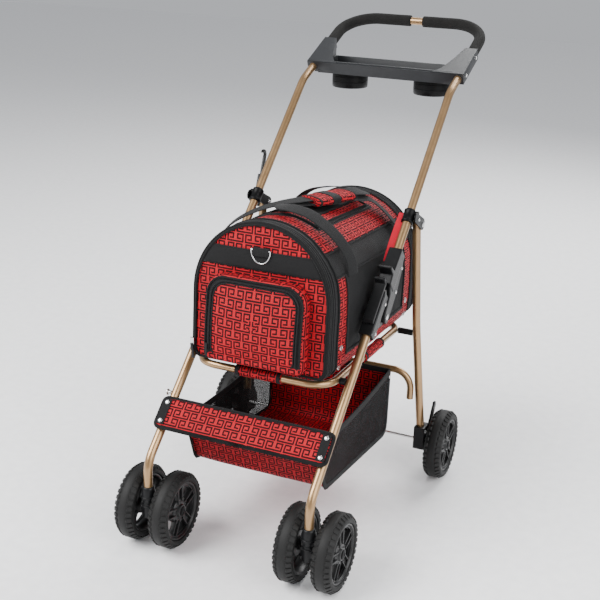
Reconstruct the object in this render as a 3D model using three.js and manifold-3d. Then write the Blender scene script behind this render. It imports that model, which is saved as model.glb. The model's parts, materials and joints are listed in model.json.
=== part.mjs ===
// Folding pet stroller with a lift-off soft carrier. Millimetres, +Z up, +Y to the rear, +X to the right
// as seen from in front. The pieces are laid out from the front casters' swivel axis, and the whole
// group is moved so that the origin lies under the middle of the object.
import * as THREE from "three";
import { mergeVertices } from "three/addons/utils/BufferGeometryUtils.js";
import Module from "manifold-3d";

const wasm = await Module();
wasm.setup();

// Driving dimensions.
const WHEEL_R = 82.5; // 165 mm wheels, all six alike
const TYRE_HALF = 22;
const TRAIL = 37; // front axle behind the swivel axis
const TWIN = 41; // each twin wheel from its swivel axis
const LEG_X = 183;
const HANDLE_X = 186;
const REAR_WHEEL = { x: 278, y: 578 };
const TUBE_R = 9.5;
const LIGHT_TUBE_R = 8;
const GAP = 0.3; // between touching pieces
const SIDES = 10; // of a tube's section
const FRAME_ANGLE = THREE.MathUtils.degToRad(42.4);
const LEG_BEND = { y: 0, z: 202 };
const HANDLE_BEND = { y: 758, z: 887 };
const HANDLE_TOP_ANGLE = THREE.MathUtils.degToRad(22.5);
const HANDLE_TOP_LENGTH = 327; // from the bend to the grip bar
const LATCH = { s: 445, n: -42 }; // fold pivot, along and square to the front leg
const REAR_PIVOT = { y: 553, z: 627 };
const SEAT_PIVOT = { y: 195, z: 380 };
const SEAT_REAR = { y: 560, z: 361 };
const RAIL_X = 152;
const CLIP_Y = 505;
const BRAKE_PIVOT = { y: 562, z: 120 };
const SEAT_ENDS = { front: 145, rear: 600 };
const BASKET_BAR = { y: 550, z: 265 };
const CARRIER = { y: 137, z: 397, half: 157, height: 306, spring: 150, length: 535, wall: 4.5, drop: 0.06 };
const FLAP = { half: 69, front: 111, rear: 399 };
const TRAY = { front: 818, rear: 928, low: 898, high: 928, half: 172, wall: 5 };
const CUP = { x: 107, y: 873, r: 44, low: 862, wall: 3 };
const FRONT_END = TRAIL - WHEEL_R;
const GRIP_R = 14.5;
const REAR_END = HANDLE_BEND.y + HANDLE_TOP_LENGTH * Math.cos(HANDLE_TOP_ANGLE) + 0.97 * GRIP_R;
const MIDDLE_Y = (FRONT_END + REAR_END) / 2;

const finish = (color, roughness, metalness) => new THREE.MeshStandardMaterial({ color, roughness, metalness });
const GOLD = finish(0xbe9669, 0.32, 0.85);
const STEEL = finish(0xb8babd, 0.3, 0.95);
const PLASTIC = finish(0x1c1d20, 0.45, 0);
const TRAY_PLASTIC = finish(0x25282d, 0.38, 0);
const TYRE_PLASTIC = finish(0x161616, 0.8, 0);
const FOAM = finish(0x1d1c1b, 0.95, 0);
const FABRIC = finish(0xb01e34, 0.85, 0);
const WEBBING = finish(0x141414, 0.9, 0);

// A closed geometry as a solid whose faces point out.
function solid(geometry) {
  const bare = geometry.index ? geometry.toNonIndexed() : geometry.clone();
  bare.deleteAttribute("normal");
  bare.deleteAttribute("uv");
  const merged = mergeVertices(bare, 1e-3);
  const triangles = [];
  for (let i = 0; i < merged.index.count; i += 3) {
    const [a, b, c] = [0, 1, 2].map((k) => merged.index.getX(i + k));
    if (a !== b && b !== c && c !== a) triangles.push(a, b, c);
  }
  const make = (triVerts) =>
    new wasm.Manifold(
      new wasm.Mesh({ numProp: 3, vertProperties: merged.attributes.position.array, triVerts }),
    );
  const made = make(new Uint32Array(triangles));
  return made.volume() > 0 ? made : make(new Uint32Array(triangles).reverse());
}

const join = (first, ...others) => others.reduce((whole, other) => whole.add(other), first);
const cut = (first, ...others) => others.reduce((whole, other) => whole.subtract(other), first);

function geometryOf(made) {
  const { numProp, vertProperties, triVerts } = made.getMesh();
  const count = vertProperties.length / numProp;
  const positions = new Float32Array(count * 3);
  for (let i = 0; i < count; i++) {
    positions.set(vertProperties.subarray(i * numProp, i * numProp + 3), i * 3);
  }
  const geometry = new THREE.BufferGeometry();
  geometry.setAttribute("position", new THREE.BufferAttribute(positions, 3));
  geometry.setIndex(new THREE.BufferAttribute(new Uint32Array(triVerts), 1));
  return geometry;
}

function piece(name, made, material) {
  const geometry = geometryOf(made).toNonIndexed();
  geometry.computeVertexNormals();
  const mesh = new THREE.Mesh(geometry, material);
  mesh.name = name;
  return mesh;
}

// The mirror image of a solid across the middle plane.
function mirrored(made) {
  return solid(geometryOf(made).scale(-1, 1, 1));
}

// A right-hand piece and its mirror image.
function pair(name, made, material) {
  return [piece(name + "_right", made, material), piece(name + "_left", mirrored(made), material)];
}

function outline(points) {
  return new THREE.Shape(points.map(([a, b]) => new THREE.Vector2(a, b)));
}

function extruded(shape, depth, curveSegments = 10) {
  return new THREE.ExtrudeGeometry(shape, { depth, bevelEnabled: false, curveSegments });
}

// A side profile, drawn in y and z, made solid from x = from to x = to.
function plate(points, from, to) {
  const across = new THREE.Matrix4().makeBasis(
    new THREE.Vector3(0, 1, 0),
    new THREE.Vector3(0, 0, 1),
    new THREE.Vector3(1, 0, 0),
  );
  const shape = points instanceof THREE.Shape ? points : outline(points);
  return solid(extruded(shape, to - from).applyMatrix4(across).translate(from, 0, 0));
}

// A front profile, drawn in x and z, made solid from y = from to y = to.
function slab(shape, from, to) {
  return solid(extruded(shape, to - from).rotateX(Math.PI / 2).translate(0, to, 0));
}

function block([x0, x1], [y0, y1], [z0, z1]) {
  const box = new THREE.BoxGeometry(x1 - x0, y1 - y0, z1 - z0);
  return solid(box.translate((x0 + x1) / 2, (y0 + y1) / 2, (z0 + z1) / 2));
}

// A round bar between two points.
function bar(from, to, radius, sides = SIDES) {
  const start = new THREE.Vector3(...from);
  const along = new THREE.Vector3(...to).sub(start);
  const turn = new THREE.Quaternion().setFromUnitVectors(
    new THREE.Vector3(0, 1, 0),
    along.clone().normalize(),
  );
  const middle = start.addScaledVector(along, 0.5);
  const cylinder = new THREE.CylinderGeometry(radius, radius, along.length(), sides);
  return solid(cylinder.applyQuaternion(turn).translate(middle.x, middle.y, middle.z));
}

// The radius of a many-sided hole that clears a round bar.
const clearing = (radius, sides = SIDES) => (radius + GAP) / Math.cos(Math.PI / sides);

// A route of straight runs and round bends, with a section at each of its points.
class BentRoute extends THREE.Curve {
  constructor(points) {
    super();
    this.points = points;
  }
  getPoint(t, target = new THREE.Vector3()) {
    const place = t * (this.points.length - 1);
    const i = Math.min(Math.floor(place), this.points.length - 2);
    return target.copy(this.points[i]).lerp(this.points[i + 1], place - i);
  }
  getPointAt(u, target) {
    return this.getPoint(u, target);
  }
  getTangentAt(u, target = new THREE.Vector3()) {
    const last = this.points.length - 1;
    const i = Math.round(u * last);
    const run = (a, b) => this.points[b].clone().sub(this.points[a]).normalize();
    const before = run(Math.max(i - 1, 0), Math.max(i, 1));
    const after = run(Math.min(i, last - 1), Math.min(i + 1, last));
    return target.copy(before).add(after).normalize();
  }
}

// Points along a line with its corners rounded.
function rounded(corners, radius, stepDegrees = 15) {
  const spots = corners.map((c) => new THREE.Vector3(...c));
  const points = [spots[0]];
  for (let i = 1; i < spots.length - 1; i++) {
    const back = spots[i - 1].clone().sub(spots[i]).normalize();
    const onward = spots[i + 1].clone().sub(spots[i]).normalize();
    const turn = Math.PI - back.angleTo(onward);
    const reach = radius * Math.tan(turn / 2);
    const centre = back.clone().add(onward).normalize();
    centre.multiplyScalar(radius / Math.cos(turn / 2)).add(spots[i]);
    const from = spots[i].clone().addScaledVector(back, reach).sub(centre);
    const to = spots[i].clone().addScaledVector(onward, reach).sub(centre);
    const steps = Math.max(2, Math.round(THREE.MathUtils.radToDeg(turn) / stepDegrees));
    for (let k = 0; k <= steps; k++) {
      const share = (turn * k) / steps;
      const point = from.clone().multiplyScalar(Math.sin(turn - share) / Math.sin(turn));
      points.push(point.addScaledVector(to, Math.sin(share) / Math.sin(turn)).add(centre));
    }
  }
  points.push(spots.at(-1));
  return points;
}

function ringShape(outer, inner, sides) {
  const circle = (radius) =>
    Array.from({ length: sides }, (_, i) => {
      const turn = (2 * Math.PI * i) / sides;
      return new THREE.Vector2(radius * Math.cos(turn), radius * Math.sin(turn));
    });
  const shape = new THREE.Shape(circle(outer));
  if (inner) shape.holes.push(new THREE.Path(circle(inner)));
  return shape;
}

// A tube along a route, solid unless it has an inner radius.
function tube(points, outer, inner = 0, sides = SIDES) {
  const options = { steps: points.length - 1, bevelEnabled: false, extrudePath: new BentRoute(points) };
  return solid(new THREE.ExtrudeGeometry(ringShape(outer, inner, sides), options));
}

// A turned piece on an axis along X, from points of radius and place along the axis.
function turned(profile, segments) {
  const points = profile.map(([radius, along]) => new THREE.Vector2(radius, along));
  return solid(new THREE.LatheGeometry(points, segments).rotateZ(-Math.PI / 2));
}

// A point on the front leg's slope: s along it from the bend, n square to it, towards the front.
function onSlope(s, n) {
  const [cos, sin] = [Math.cos(FRAME_ANGLE), Math.sin(FRAME_ANGLE)];
  return [LEG_BEND.y + s * cos - n * sin, LEG_BEND.z + s * sin + n * cos];
}

// A point on the flatter top part of the handle.
function onHandleTop(t, n = 0) {
  const [cos, sin] = [Math.cos(HANDLE_TOP_ANGLE), Math.sin(HANDLE_TOP_ANGLE)];
  return [HANDLE_BEND.y + t * cos - n * sin, HANDLE_BEND.z + t * sin + n * cos];
}

function frontLegs() {
  const end = onSlope(476, 0);
  const route = rounded([[LEG_X, 0, 114], [LEG_X, LEG_BEND.y, LEG_BEND.z], [LEG_X, ...end]], 60, 12);
  const bore = clearing(TUBE_R, 16);
  const collar = [[bore, 0], [15.5, 0], [15.5, 8], [17.5, 9], [17.5, 14], [bore, 14], [bore, 0]];
  const socket = new THREE.LatheGeometry(collar.map(([r, z]) => new THREE.Vector2(r, z)), 16);
  return [
    ...pair("front_leg", tube(route, TUBE_R), GOLD),
    ...pair("caster_socket", solid(socket.rotateX(Math.PI / 2).translate(LEG_X, 0, 113)), PLASTIC),
  ];
}

// A padded board across the front legs, and the stud that the storage hook catches.
function footrest() {
  const corners = [onSlope(76, 10.4), onSlope(142, 10.4), onSlope(142, 22), onSlope(76, 22)];
  const [studY, studZ] = onSlope(160, 0);
  const studX = LEG_X + TUBE_R + GAP;
  const stud = join(
    bar([-studX, studY, studZ], [-studX - 9, studY, studZ], 4, 12),
    bar([-studX - 8, studY, studZ], [-studX - 11, studY, studZ], 7, 12),
  );
  return [piece("footrest_panel", plate(corners, -193, 193), FABRIC), piece("hook_stud", stud, STEEL)];
}

// Lower half of the fold joint: a sleeve on the front leg with a wing to the pivot.
function latchSocket() {
  const sleeve = [[372, -14], [372, 13], [478, 13], [478, -17], [392, -17]];
  const wing = [[388, -16], [478, -16], [470, -46], [461, -56], [445, -60], [428, -55]];
  const body = plate(sleeve.map((p) => onSlope(...p)), LEG_X - 15, LEG_X + 14);
  const bore = bar([LEG_X, ...onSlope(360, 0)], [LEG_X, ...onSlope(476.5, 0)], clearing(TUBE_R));
  return cut(join(body, plate(wing.map((p) => onSlope(...p)), 177, 189)), bore);
}

// Upper half of the fold joint: a sleeve on the handle tube with two cheeks over the wing.
function latchArm() {
  const sleeve = [[498, -25], [498, 9], [520, 12], [521, 34], [527, 36], [531, 11], [588, 8], [588, -25]];
  const cheek = [[588, -25], [500, 4], [486, -17], [440, -27], [430, -40], [433, -54], [445, -60]];
  cheek.push([468, -62], [520, -58], [570, -44]);
  const points = cheek.map((p) => onSlope(...p));
  const body = plate(sleeve.map((p) => onSlope(...p)), HANDLE_X - 15, HANDLE_X + 15);
  const [low] = onSlope(506.5, -8);
  const bore = bar([HANDLE_X, ...onHandleLine(low)], [HANDLE_X, ...onHandleLine(low + 90)], clearing(TUBE_R));
  const cheeks = [plate(points, HANDLE_X - 15, 176), plate(points, 190, HANDLE_X + 13)];
  const lowerHalf = plate([[480, 5], [480, -16], [440, -16], [440, 5]].map((p) => onSlope(...p)), 160, 205);
  return cut(join(body, ...cheeks), bore, lowerHalf);
}

// The sliding release in front of the joint, with its thumb flange.
function latchLever() {
  const profile = [[396, 13.4], [396, 19], [402, 22], [490, 22], [492, 36], [498, 36], [499, 13.4]];
  return plate(profile.map((p) => onSlope(...p)), LEG_X - 12, LEG_X + 12);
}

function handleRoute() {
  const start = onSlope(508, -8);
  const [topY, topZ] = onHandleTop(HANDLE_TOP_LENGTH);
  const bend = [HANDLE_BEND.y, HANDLE_BEND.z];
  const side = rounded([[HANDLE_X, ...start], [HANDLE_X, ...bend], [HANDLE_X, ...onHandleTop(190)]], 90, 7);
  const corner = [[HANDLE_X, ...onHandleTop(190)], [HANDLE_X, topY, topZ], [18, topY, topZ]];
  const grip = rounded(corner, 85, 15);
  return { side: side.slice(0, -1), grip };
}

function handle() {
  const { side, grip } = handleRoute();
  const half = [...side, ...grip];
  const other = half.map((p) => new THREE.Vector3(-p.x, p.y, p.z)).reverse();
  const [topY, topZ] = onHandleTop(HANDLE_TOP_LENGTH);
  const centre = new THREE.Vector3(0, topY, topZ);
  return [
    piece("handle_tube", tube([...half, centre, ...other], TUBE_R), GOLD),
    ...pair("grip", tube(grip, GRIP_R, clearing(TUBE_R)), FOAM),
    ...pair("latch_arm", latchArm(), PLASTIC),
    piece("parent_tray", parentTray(), TRAY_PLASTIC),
    piece("clip_right", clip(), PLASTIC),
    piece("clip_left", join(mirrored(clip()), hookPost()), PLASTIC),
  ];
}

// A trough between the tubes, with a cup hanging at each end and a bracket round each tube.
function parentTray() {
  const { front, rear, low, high, half, wall } = TRAY;
  const trough = block([-half, half], [front, rear], [low, high]);
  const inside = block([8 - half, half - 8], [front + wall, rear - wall], [low + wall, high + 1]);
  const bracket = [onHandleTop(66, -14), onHandleTop(188, -14), onHandleTop(188, 13), onHandleTop(66, 13)];
  const parts = [trough];
  const holes = [inside];
  for (const side of [-1, 1]) {
    const edges = [side * (half - 1), side * (HANDLE_X + 14)].sort((a, b) => a - b);
    parts.push(plate(bracket, ...edges));
    parts.push(bar([side * CUP.x, CUP.y, CUP.low], [side * CUP.x, CUP.y, low + 2], CUP.r, 20));
    holes.push(bar([side * CUP.x, CUP.y, CUP.low + 3], [side * CUP.x, CUP.y, high], CUP.r - CUP.wall, 20));
    const x = side * HANDLE_X;
    holes.push(bar([x, ...onHandleTop(40)], [x, ...onHandleTop(210)], clearing(TUBE_R)));
  }
  return cut(join(...parts), ...holes);
}

// A point on the handle tube's straight run, at a given y.
function onHandleLine(y) {
  const [y0, z0] = onSlope(508, -8);
  const rise = (HANDLE_BEND.z - z0) / (HANDLE_BEND.y - y0);
  return [y, z0 + (y - y0) * rise];
}

// A sleeve clamped on the handle tube, with two ears that hold the top of the rear leg.
function clip() {
  const [y, z] = onHandleLine(CLIP_Y);
  const sleeve = [[-24, -3], [5, 24], [25, 14]];
  const ear = [[56, -3], [65, -16], [62, -30], [50, -37], [36, -34], [-5, -24]];
  const points = [...sleeve, ...ear].map(([dy, dz]) => [y + dy, z + dz]);
  const bore = bar([HANDLE_X, ...onHandleLine(430)], [HANDLE_X, ...onHandleLine(580)], clearing(TUBE_R));
  const [back, top] = [REAR_PIVOT.y - 17, REAR_PIVOT.z + 18];
  const slot = [[back, top], [back, z - 70], [y + 90, z - 70], [y + 90, top]];
  return cut(plate(points, HANDLE_X - 14, 205.5), bore, plate(slot, 179.4, 202));
}

// The post on the left clip's outer ear that the storage hook turns on.
function hookPost() {
  return bar([-205, REAR_PIVOT.y, REAR_PIVOT.z], [-216, REAR_PIVOT.y, REAR_PIVOT.z], 5, 16);
}

// A lever that stands up behind the handle tube; folded, it swings back to catch the front leg's stud.
function storageHook() {
  const lean = THREE.MathUtils.degToRad(68);
  const arm = [[-9, -6], [-9, 6], [2, 11], [62, 12], [64, 2], [104, 2], [110, 1.5], [114, 4], [115.5, 8]];
  arm.push([113, 12], [112, 18], [119, 15], [122.5, 8], [120.5, 0], [114, -5.5], [104, -7.5], [10, -10]);
  const points = arm.map(([along, front]) => [
    REAR_PIVOT.y + along * Math.cos(lean) - front * Math.sin(lean),
    REAR_PIVOT.z + along * Math.sin(lean) + front * Math.cos(lean),
  ]);
  const hole = bar([-220, REAR_PIVOT.y, REAR_PIVOT.z], [-200, REAR_PIVOT.y, REAR_PIVOT.z], 5.6, 16);
  return piece("storage_hook", cut(plate(points, -212.5, -206.5), hole), PLASTIC);
}

// A wheel's plastic rim with a blind hub and five windows, and its tyre, both round the axis at the origin.
function wheelShapes() {
  const inner = 62;
  const rim = [[0, 16], [14, 16], [14, 5], [50, 5], [50, 16], [inner, 16]];
  rim.push([inner, -16], [50, -16], [50, -5], [14, -5], [14, -16], [4.8, -16], [4.8, 11], [0, 11]);
  const windows = Array.from({ length: 5 }, (_, i) => {
    const at = (angle, radius) => [radius * Math.cos(angle), radius * Math.sin(angle)];
    const middle = Math.PI / 2 + (i * 2 * Math.PI) / 5;
    const corners = [at(middle - 0.3, 22), at(middle + 0.3, 22), at(middle + 0.45, 45), at(middle - 0.45, 45)];
    return plate(corners, -8, 8);
  });
  const tread = [[0, -17], [0, 17], [9, TYRE_HALF], [16, 19], [20, 10], [20, -10], [16, -19], [9, -TYRE_HALF]];
  const tyre = [...tread, tread[0]].map(([depth, along]) => [inner + (depth ? depth + 0.5 : 0.4), along]);
  return { rim: cut(turned(rim, 24), ...windows), tyre: turned(tyre, 24) };
}

function moved(made, x, y, z) {
  return solid(geometryOf(made).translate(x, y, z));
}

// A rim and its tyre in their place; facing is 1 when the capped face looks to +X.
function wheel(name, made, facing, [x, y]) {
  const rim = facing > 0 ? made.rim : mirrored(made.rim);
  return [
    piece(name.replace("wheel", "rim"), moved(rim, x, y, WHEEL_R), TYRE_PLASTIC),
    piece(name.replace("wheel", "tyre"), moved(made.tyre, x, y, WHEEL_R), TYRE_PLASTIC),
  ];
}

function wheels() {
  const made = wheelShapes();
  return [1, -1].flatMap((side) => {
    const name = side > 0 ? "right" : "left";
    return [
      ...wheel("front_wheel_" + name + "_outer", made, side, [side * (LEG_X + TWIN), TRAIL]),
      ...wheel("front_wheel_" + name + "_inner", made, -side, [side * (LEG_X - TWIN), TRAIL]),
      ...wheel("rear_wheel_" + name, made, side, [side * REAR_WHEEL.x, REAR_WHEEL.y]),
    ];
  });
}

// The swivelling fork between twin wheels, and the axle through it.
function casters() {
  const profile = [[-13, 88], [-13, 108], [13, 108], [30, 105], [50, 96], [54, 78], [44, 68], [24, 68], [0, 76]];
  const stem = bar([LEG_X, 0, 78], [LEG_X, 0, 112.5], 15, 16);
  const boss = bar([LEG_X - 19, TRAIL, WHEEL_R], [LEG_X + 19, TRAIL, WHEEL_R], 12, 16);
  const hole = bar([LEG_X - 30, TRAIL, WHEEL_R], [LEG_X + 30, TRAIL, WHEEL_R], clearing(4), 10);
  const axle = bar([LEG_X - 51, TRAIL, WHEEL_R], [LEG_X + 51, TRAIL, WHEEL_R], 4);
  const fork = cut(join(plate(profile, LEG_X - 12, LEG_X + 12), stem, boss), hole);
  return [...pair("caster_fork", fork, PLASTIC), ...pair("front_axle", axle, STEEL)];
}

// A rear leg, splayed outwards, with the hub that holds the wheel's stub axle.
function rearLegs() {
  const [topX, kneeX, footX] = [190, 206, 235];
  const [top, knee, foot] = [[topX, 553, 640], [kneeX, 552, 385], [footX, 556, 88]];
  const leg = rounded([top, knee, foot], 900, 3);
  const profile = [[538, 76], [538, 132], [574, 132], [592, 106], [596, 84], [588, 68], [570, 66]];
  const stub = bar([245, REAR_WHEEL.y, WHEEL_R], [288, REAR_WHEEL.y, WHEEL_R], 4);
  const boss = bar([240, REAR_WHEEL.y, WHEEL_R], [258, REAR_WHEEL.y, WHEEL_R], 12, 16);
  const post = bar([240, BRAKE_PIVOT.y, BRAKE_PIVOT.z], [253, BRAKE_PIVOT.y, BRAKE_PIVOT.z], 5, 16);
  const socket = tube([leg.at(-2), leg.at(-1)], clearing(TUBE_R));
  const hub = cut(join(plate(profile, 221, 246), boss, stub, post), socket);
  const { y, z } = BASKET_BAR;
  const half = rounded([[202, y, 198], [202, y, z], [0, y, z]], 42, 15);
  const other = half.slice(0, -1).map((p) => new THREE.Vector3(-p.x, p.y, p.z)).reverse();
  return [
    ...pair("rear_leg", tube(leg, TUBE_R), GOLD),
    ...pair("rear_hub", hub, PLASTIC),
    piece("basket_bar", tube([...half, ...other], LIGHT_TUBE_R), GOLD),
    piece("rear_rod", bar([-220.5, 548, 99], [220.5, 548, 99], 3.5), GOLD),
  ];
}

// A foot lever beside each rear wheel, turning on the hub's post.
function brakes() {
  const { y, z } = BRAKE_PIVOT;
  const arm = [[-9, -2], [-4, -9], [6, -8], [46, 48], [42, 58], [30, 58], [24, 50], [-4, 10]];
  const lever = plate(arm.map(([dy, dz]) => [y + dy, z + dz]), 247, 252);
  return pair("brake", cut(lever, bar([240, y, z], [260, y, z], 5.6, 16)), PLASTIC);
}

// A tube bent to a rectangle, butted in the middle of its rear side, that carries the bag.
function seat() {
  const slope = (SEAT_REAR.z - SEAT_PIVOT.z) / (SEAT_REAR.y - SEAT_PIVOT.y);
  const onSeat = (y) => [y, SEAT_PIVOT.z + (y - SEAT_PIVOT.y) * slope];
  const { front, rear } = SEAT_ENDS;
  const corners = [[0.3, ...onSeat(rear)], [RAIL_X, ...onSeat(rear)], [RAIL_X, ...onSeat(front)]];
  corners.push([-RAIL_X, ...onSeat(front)], [-RAIL_X, ...onSeat(rear)], [-0.3, ...onSeat(rear)]);
  const sleeveHole = clearing(LIGHT_TUBE_R);
  const along = (x, y0, y1) => tube([y0, y1].map((y) => new THREE.Vector3(x, ...onSeat(y))), 12, sleeveHole);
  const across = [-52, 52].map((x) => new THREE.Vector3(x, ...onSeat(front)));
  const spacer = (y, reach) => bar([RAIL_X + LIGHT_TUBE_R + GAP, ...onSeat(y)], [reach, ...onSeat(y)], 7.5, 12);
  return [
    piece("seat_loop", tube(rounded(corners, 50, 18), LIGHT_TUBE_R), GOLD),
    piece("seat_sleeve_front", tube(across, 12, sleeveHole), FABRIC),
    ...pair("seat_sleeve", along(RAIL_X, 345, 455), FABRIC),
    ...pair("seat_spacer_front", spacer(SEAT_PIVOT.y, LEG_X - TUBE_R - GAP), PLASTIC),
    ...pair("seat_spacer_rear", spacer(SEAT_REAR.y, 196.5), PLASTIC),
  ];
}

// A fabric basket with an open top, hung between the front legs and the rear bar.
function basket() {
  const outer = [[110, 262], [150, 150], [530, 106], [537, 262]];
  const inner = [[118, 270], [116, 262], [153.5, 154], [526, 111], [532.5, 262], [532.5, 270]];
  return piece("basket", cut(plate(outer, -153, 153), plate(inner, -149, 149)), FABRIC);
}

// An arch with a flat bottom, drawn in x and z, set in from the bag's own outline.
function arch(inset) {
  const half = CARRIER.half - inset;
  const shape = new THREE.Shape();
  shape.moveTo(-half, inset);
  shape.lineTo(half, inset);
  shape.absellipse(0, CARRIER.spring, half, CARRIER.height - CARRIER.spring - inset, 0, Math.PI);
  return shape;
}

// A piece of the bag with its roof made to fall a little towards the rear.
function tapered(made) {
  const geometry = geometryOf(made);
  const place = geometry.getAttribute("position");
  for (let i = 0; i < place.count; i++) {
    place.setZ(i, place.getZ(i) * (1 - (CARRIER.drop * place.getY(i)) / CARRIER.length));
  }
  return solid(geometry);
}

// The bag, drawn from its own front bottom edge: shell, base, door with pocket, top flap and straps.
function carrier() {
  const { wall, length } = CARRIER;
  const { half, front, rear } = FLAP;
  const hole = block([-half - 1, half + 1], [front - 1, rear + 1], [200, 400]);
  const shell = cut(slab(arch(0), 0, length), slab(arch(wall), -1, length - wall), hole);
  const roof = cut(slab(arch(0), front, rear), slab(arch(wall), front - 1, rear + 1));
  const flap = roof.intersect(block([-half, half], [front - 1, rear + 1], [200, 400]));
  const door = slab(arch(wall + 1.5), 0.5, 4.5);
  const group = new THREE.Group();
  group.position.set(0, CARRIER.y, CARRIER.z);
  group.rotation.x = Math.atan2(SEAT_REAR.z - SEAT_PIVOT.z, SEAT_REAR.y - SEAT_PIVOT.y);
  return group.add(
    piece("carrier_shell", tapered(shell), FABRIC),
    piece("carrier_base", block([-146, 146], [8, 520], [5, 10]), WEBBING),
    piece("front_door", door, FABRIC),
    piece("front_pocket", pocket(), FABRIC),
    piece("top_flap", tapered(flap), FABRIC),
    piece("d_ring", dRing(), STEEL),
    ...pair("carry_strap", tapered(carryStrap()), WEBBING),
  );
}

function pocket() {
  const shape = new THREE.Shape();
  shape.moveTo(-110, 14);
  shape.lineTo(110, 14);
  shape.lineTo(110, 136);
  shape.absarc(86, 138, 24, 0, Math.PI / 2);
  shape.absarc(-86, 138, 24, Math.PI / 2, Math.PI);
  return slab(shape, -24, 0.2);
}

// A wire ring with a straight top bar, hanging flat against the door.
function dRing() {
  const [half, wire, bar, round] = [22.5, 3, 254, 246];
  const ring = (inset) => {
    const shape = new THREE.Shape();
    shape.moveTo(half - inset, bar - inset);
    shape.lineTo(inset - half, bar - inset);
    shape.absarc(0, round, half - inset, Math.PI, 2 * Math.PI);
    return slab(shape, inset ? -10 : -6, inset ? 2 : -2.5);
  };
  return cut(ring(0), ring(wire));
}

// One strap: two bands that hug the bag from its side to the roof, joined by a loop that stands up.
function carryStrap() {
  const hug = cut(slab(arch(-4), 90, 430), slab(arch(-1), 80, 440));
  const bands = [[90, 124], [396, 430]].map((along) => block([9, 200], along, [215, 400]));
  const loop = [[90, 309], [430, 309], [430, 312], [330, 340], [190, 340], [90, 312]];
  const opening = [[122, 309], [398, 309], [318, 334], [202, 334]];
  return join(hug.intersect(bands[0].add(bands[1])), cut(plate(loop, 9, 12), plate(opening, 8, 13)));
}

const stroller = new THREE.Group();
stroller.name = "pet_stroller";
stroller.position.y = -MIDDLE_Y;
stroller.add(...frontLegs(), ...footrest(), ...pair("latch_socket", latchSocket(), PLASTIC));
stroller.add(...pair("latch_lever", latchLever(), PLASTIC), ...handle(), storageHook());
stroller.add(...casters(), ...wheels(), ...rearLegs(), ...brakes());
stroller.add(...seat(), basket(), carrier());
export default stroller;
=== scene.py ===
"""A folding pet stroller with a lift-off bag: the finished look round the fixed frame.

Lengths are in metres, in the frame's own axes: +X right as seen from in front, +Y to the rear, +Z up.
"""

import json
import logging
import math
from collections.abc import Callable, Sequence
from dataclasses import dataclass, field
from enum import Enum

import bmesh
import bpy
from mathutils import Matrix, Vector, noise


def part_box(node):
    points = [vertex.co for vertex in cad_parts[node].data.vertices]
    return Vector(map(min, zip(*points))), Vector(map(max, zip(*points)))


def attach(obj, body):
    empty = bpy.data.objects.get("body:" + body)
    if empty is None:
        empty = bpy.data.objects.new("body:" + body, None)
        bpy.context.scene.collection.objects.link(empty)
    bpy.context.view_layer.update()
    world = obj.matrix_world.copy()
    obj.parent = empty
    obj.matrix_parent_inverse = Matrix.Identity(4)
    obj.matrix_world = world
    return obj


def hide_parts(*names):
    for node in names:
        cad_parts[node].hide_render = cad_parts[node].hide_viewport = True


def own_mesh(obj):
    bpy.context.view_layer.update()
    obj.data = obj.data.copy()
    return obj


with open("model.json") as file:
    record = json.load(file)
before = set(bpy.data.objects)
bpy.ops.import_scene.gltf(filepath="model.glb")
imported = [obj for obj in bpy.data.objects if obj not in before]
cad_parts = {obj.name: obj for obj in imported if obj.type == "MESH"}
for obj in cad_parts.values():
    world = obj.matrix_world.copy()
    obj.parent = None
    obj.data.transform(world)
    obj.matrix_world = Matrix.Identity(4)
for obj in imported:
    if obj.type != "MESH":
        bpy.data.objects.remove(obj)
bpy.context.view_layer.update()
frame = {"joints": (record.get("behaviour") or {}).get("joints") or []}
LOG = logging.getLogger("stroller")
Point = Sequence[float]
TAU = 2 * math.pi


class Side(Enum):
    """The two sides of the stroller, with the sign of x on each."""

    RIGHT = 1
    LEFT = -1

    @property
    def word(self) -> str:
        """The side as it stands in the frame's names."""
        return self.name.lower()


def joint(name: str) -> dict:
    """The frame's record of one joint."""
    return next(j for j in frame["joints"] if j["name"] == name)


# ---------------------------------------------------------------- places taken from the frame
STEM_Y = joint("caster_swivel_right")["pos_m"][1]
REAR_PIVOT = Vector(joint("rear_fold")["pos_m"])
SEAT_PIVOT = Vector(joint("seat_fold")["pos_m"])
SLOPE = math.atan2(joint("latch_release_right")["axis"][2], joint("latch_release_right")["axis"][1])
WHEEL_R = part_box("rear_tyre_right")[1].z / 2
MELT_VOXEL = 0.0011
BEVEL_ANGLE = math.radians(38)
TUBE_R = 0.0095
LIGHT_TUBE_R = 0.008
LEG_X = 0.183
HANDLE_X = 0.186
LEG_BEND_Z = 0.202
HANDLE_BEND = Vector((HANDLE_X, STEM_Y + 0.758, 0.887))
HANDLE_TOP_SLOPE = math.radians(22.5)
HANDLE_TOP_LENGTH = 0.327
BAG_TILT = -math.atan2(0.019, 0.365)
BAG_ORIGIN = Vector((0, STEM_Y + 0.137, 0.397))


def at(x: float, y: float, z: float) -> Vector:
    """A point whose y counts from the front swivel axis."""
    return Vector((x, STEM_Y + y, z))


def on_slope(s: float, n: float, x: float = 0.0) -> Vector:
    """A point s along the front leg's slope from its bend, and n square to it towards the front."""
    cos, sin = math.cos(SLOPE), math.sin(SLOPE)
    return at(x, s * cos - n * sin, LEG_BEND_Z + s * sin + n * cos)


def on_handle_top(t: float, n: float = 0.0, x: float = HANDLE_X) -> Vector:
    """A point t along the flatter top of the handle from its bend, and n above it."""
    cos, sin = math.cos(HANDLE_TOP_SLOPE), math.sin(HANDLE_TOP_SLOPE)
    return Vector((x, HANDLE_BEND.y + t * cos - n * sin, HANDLE_BEND.z + t * sin + n * cos))


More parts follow.
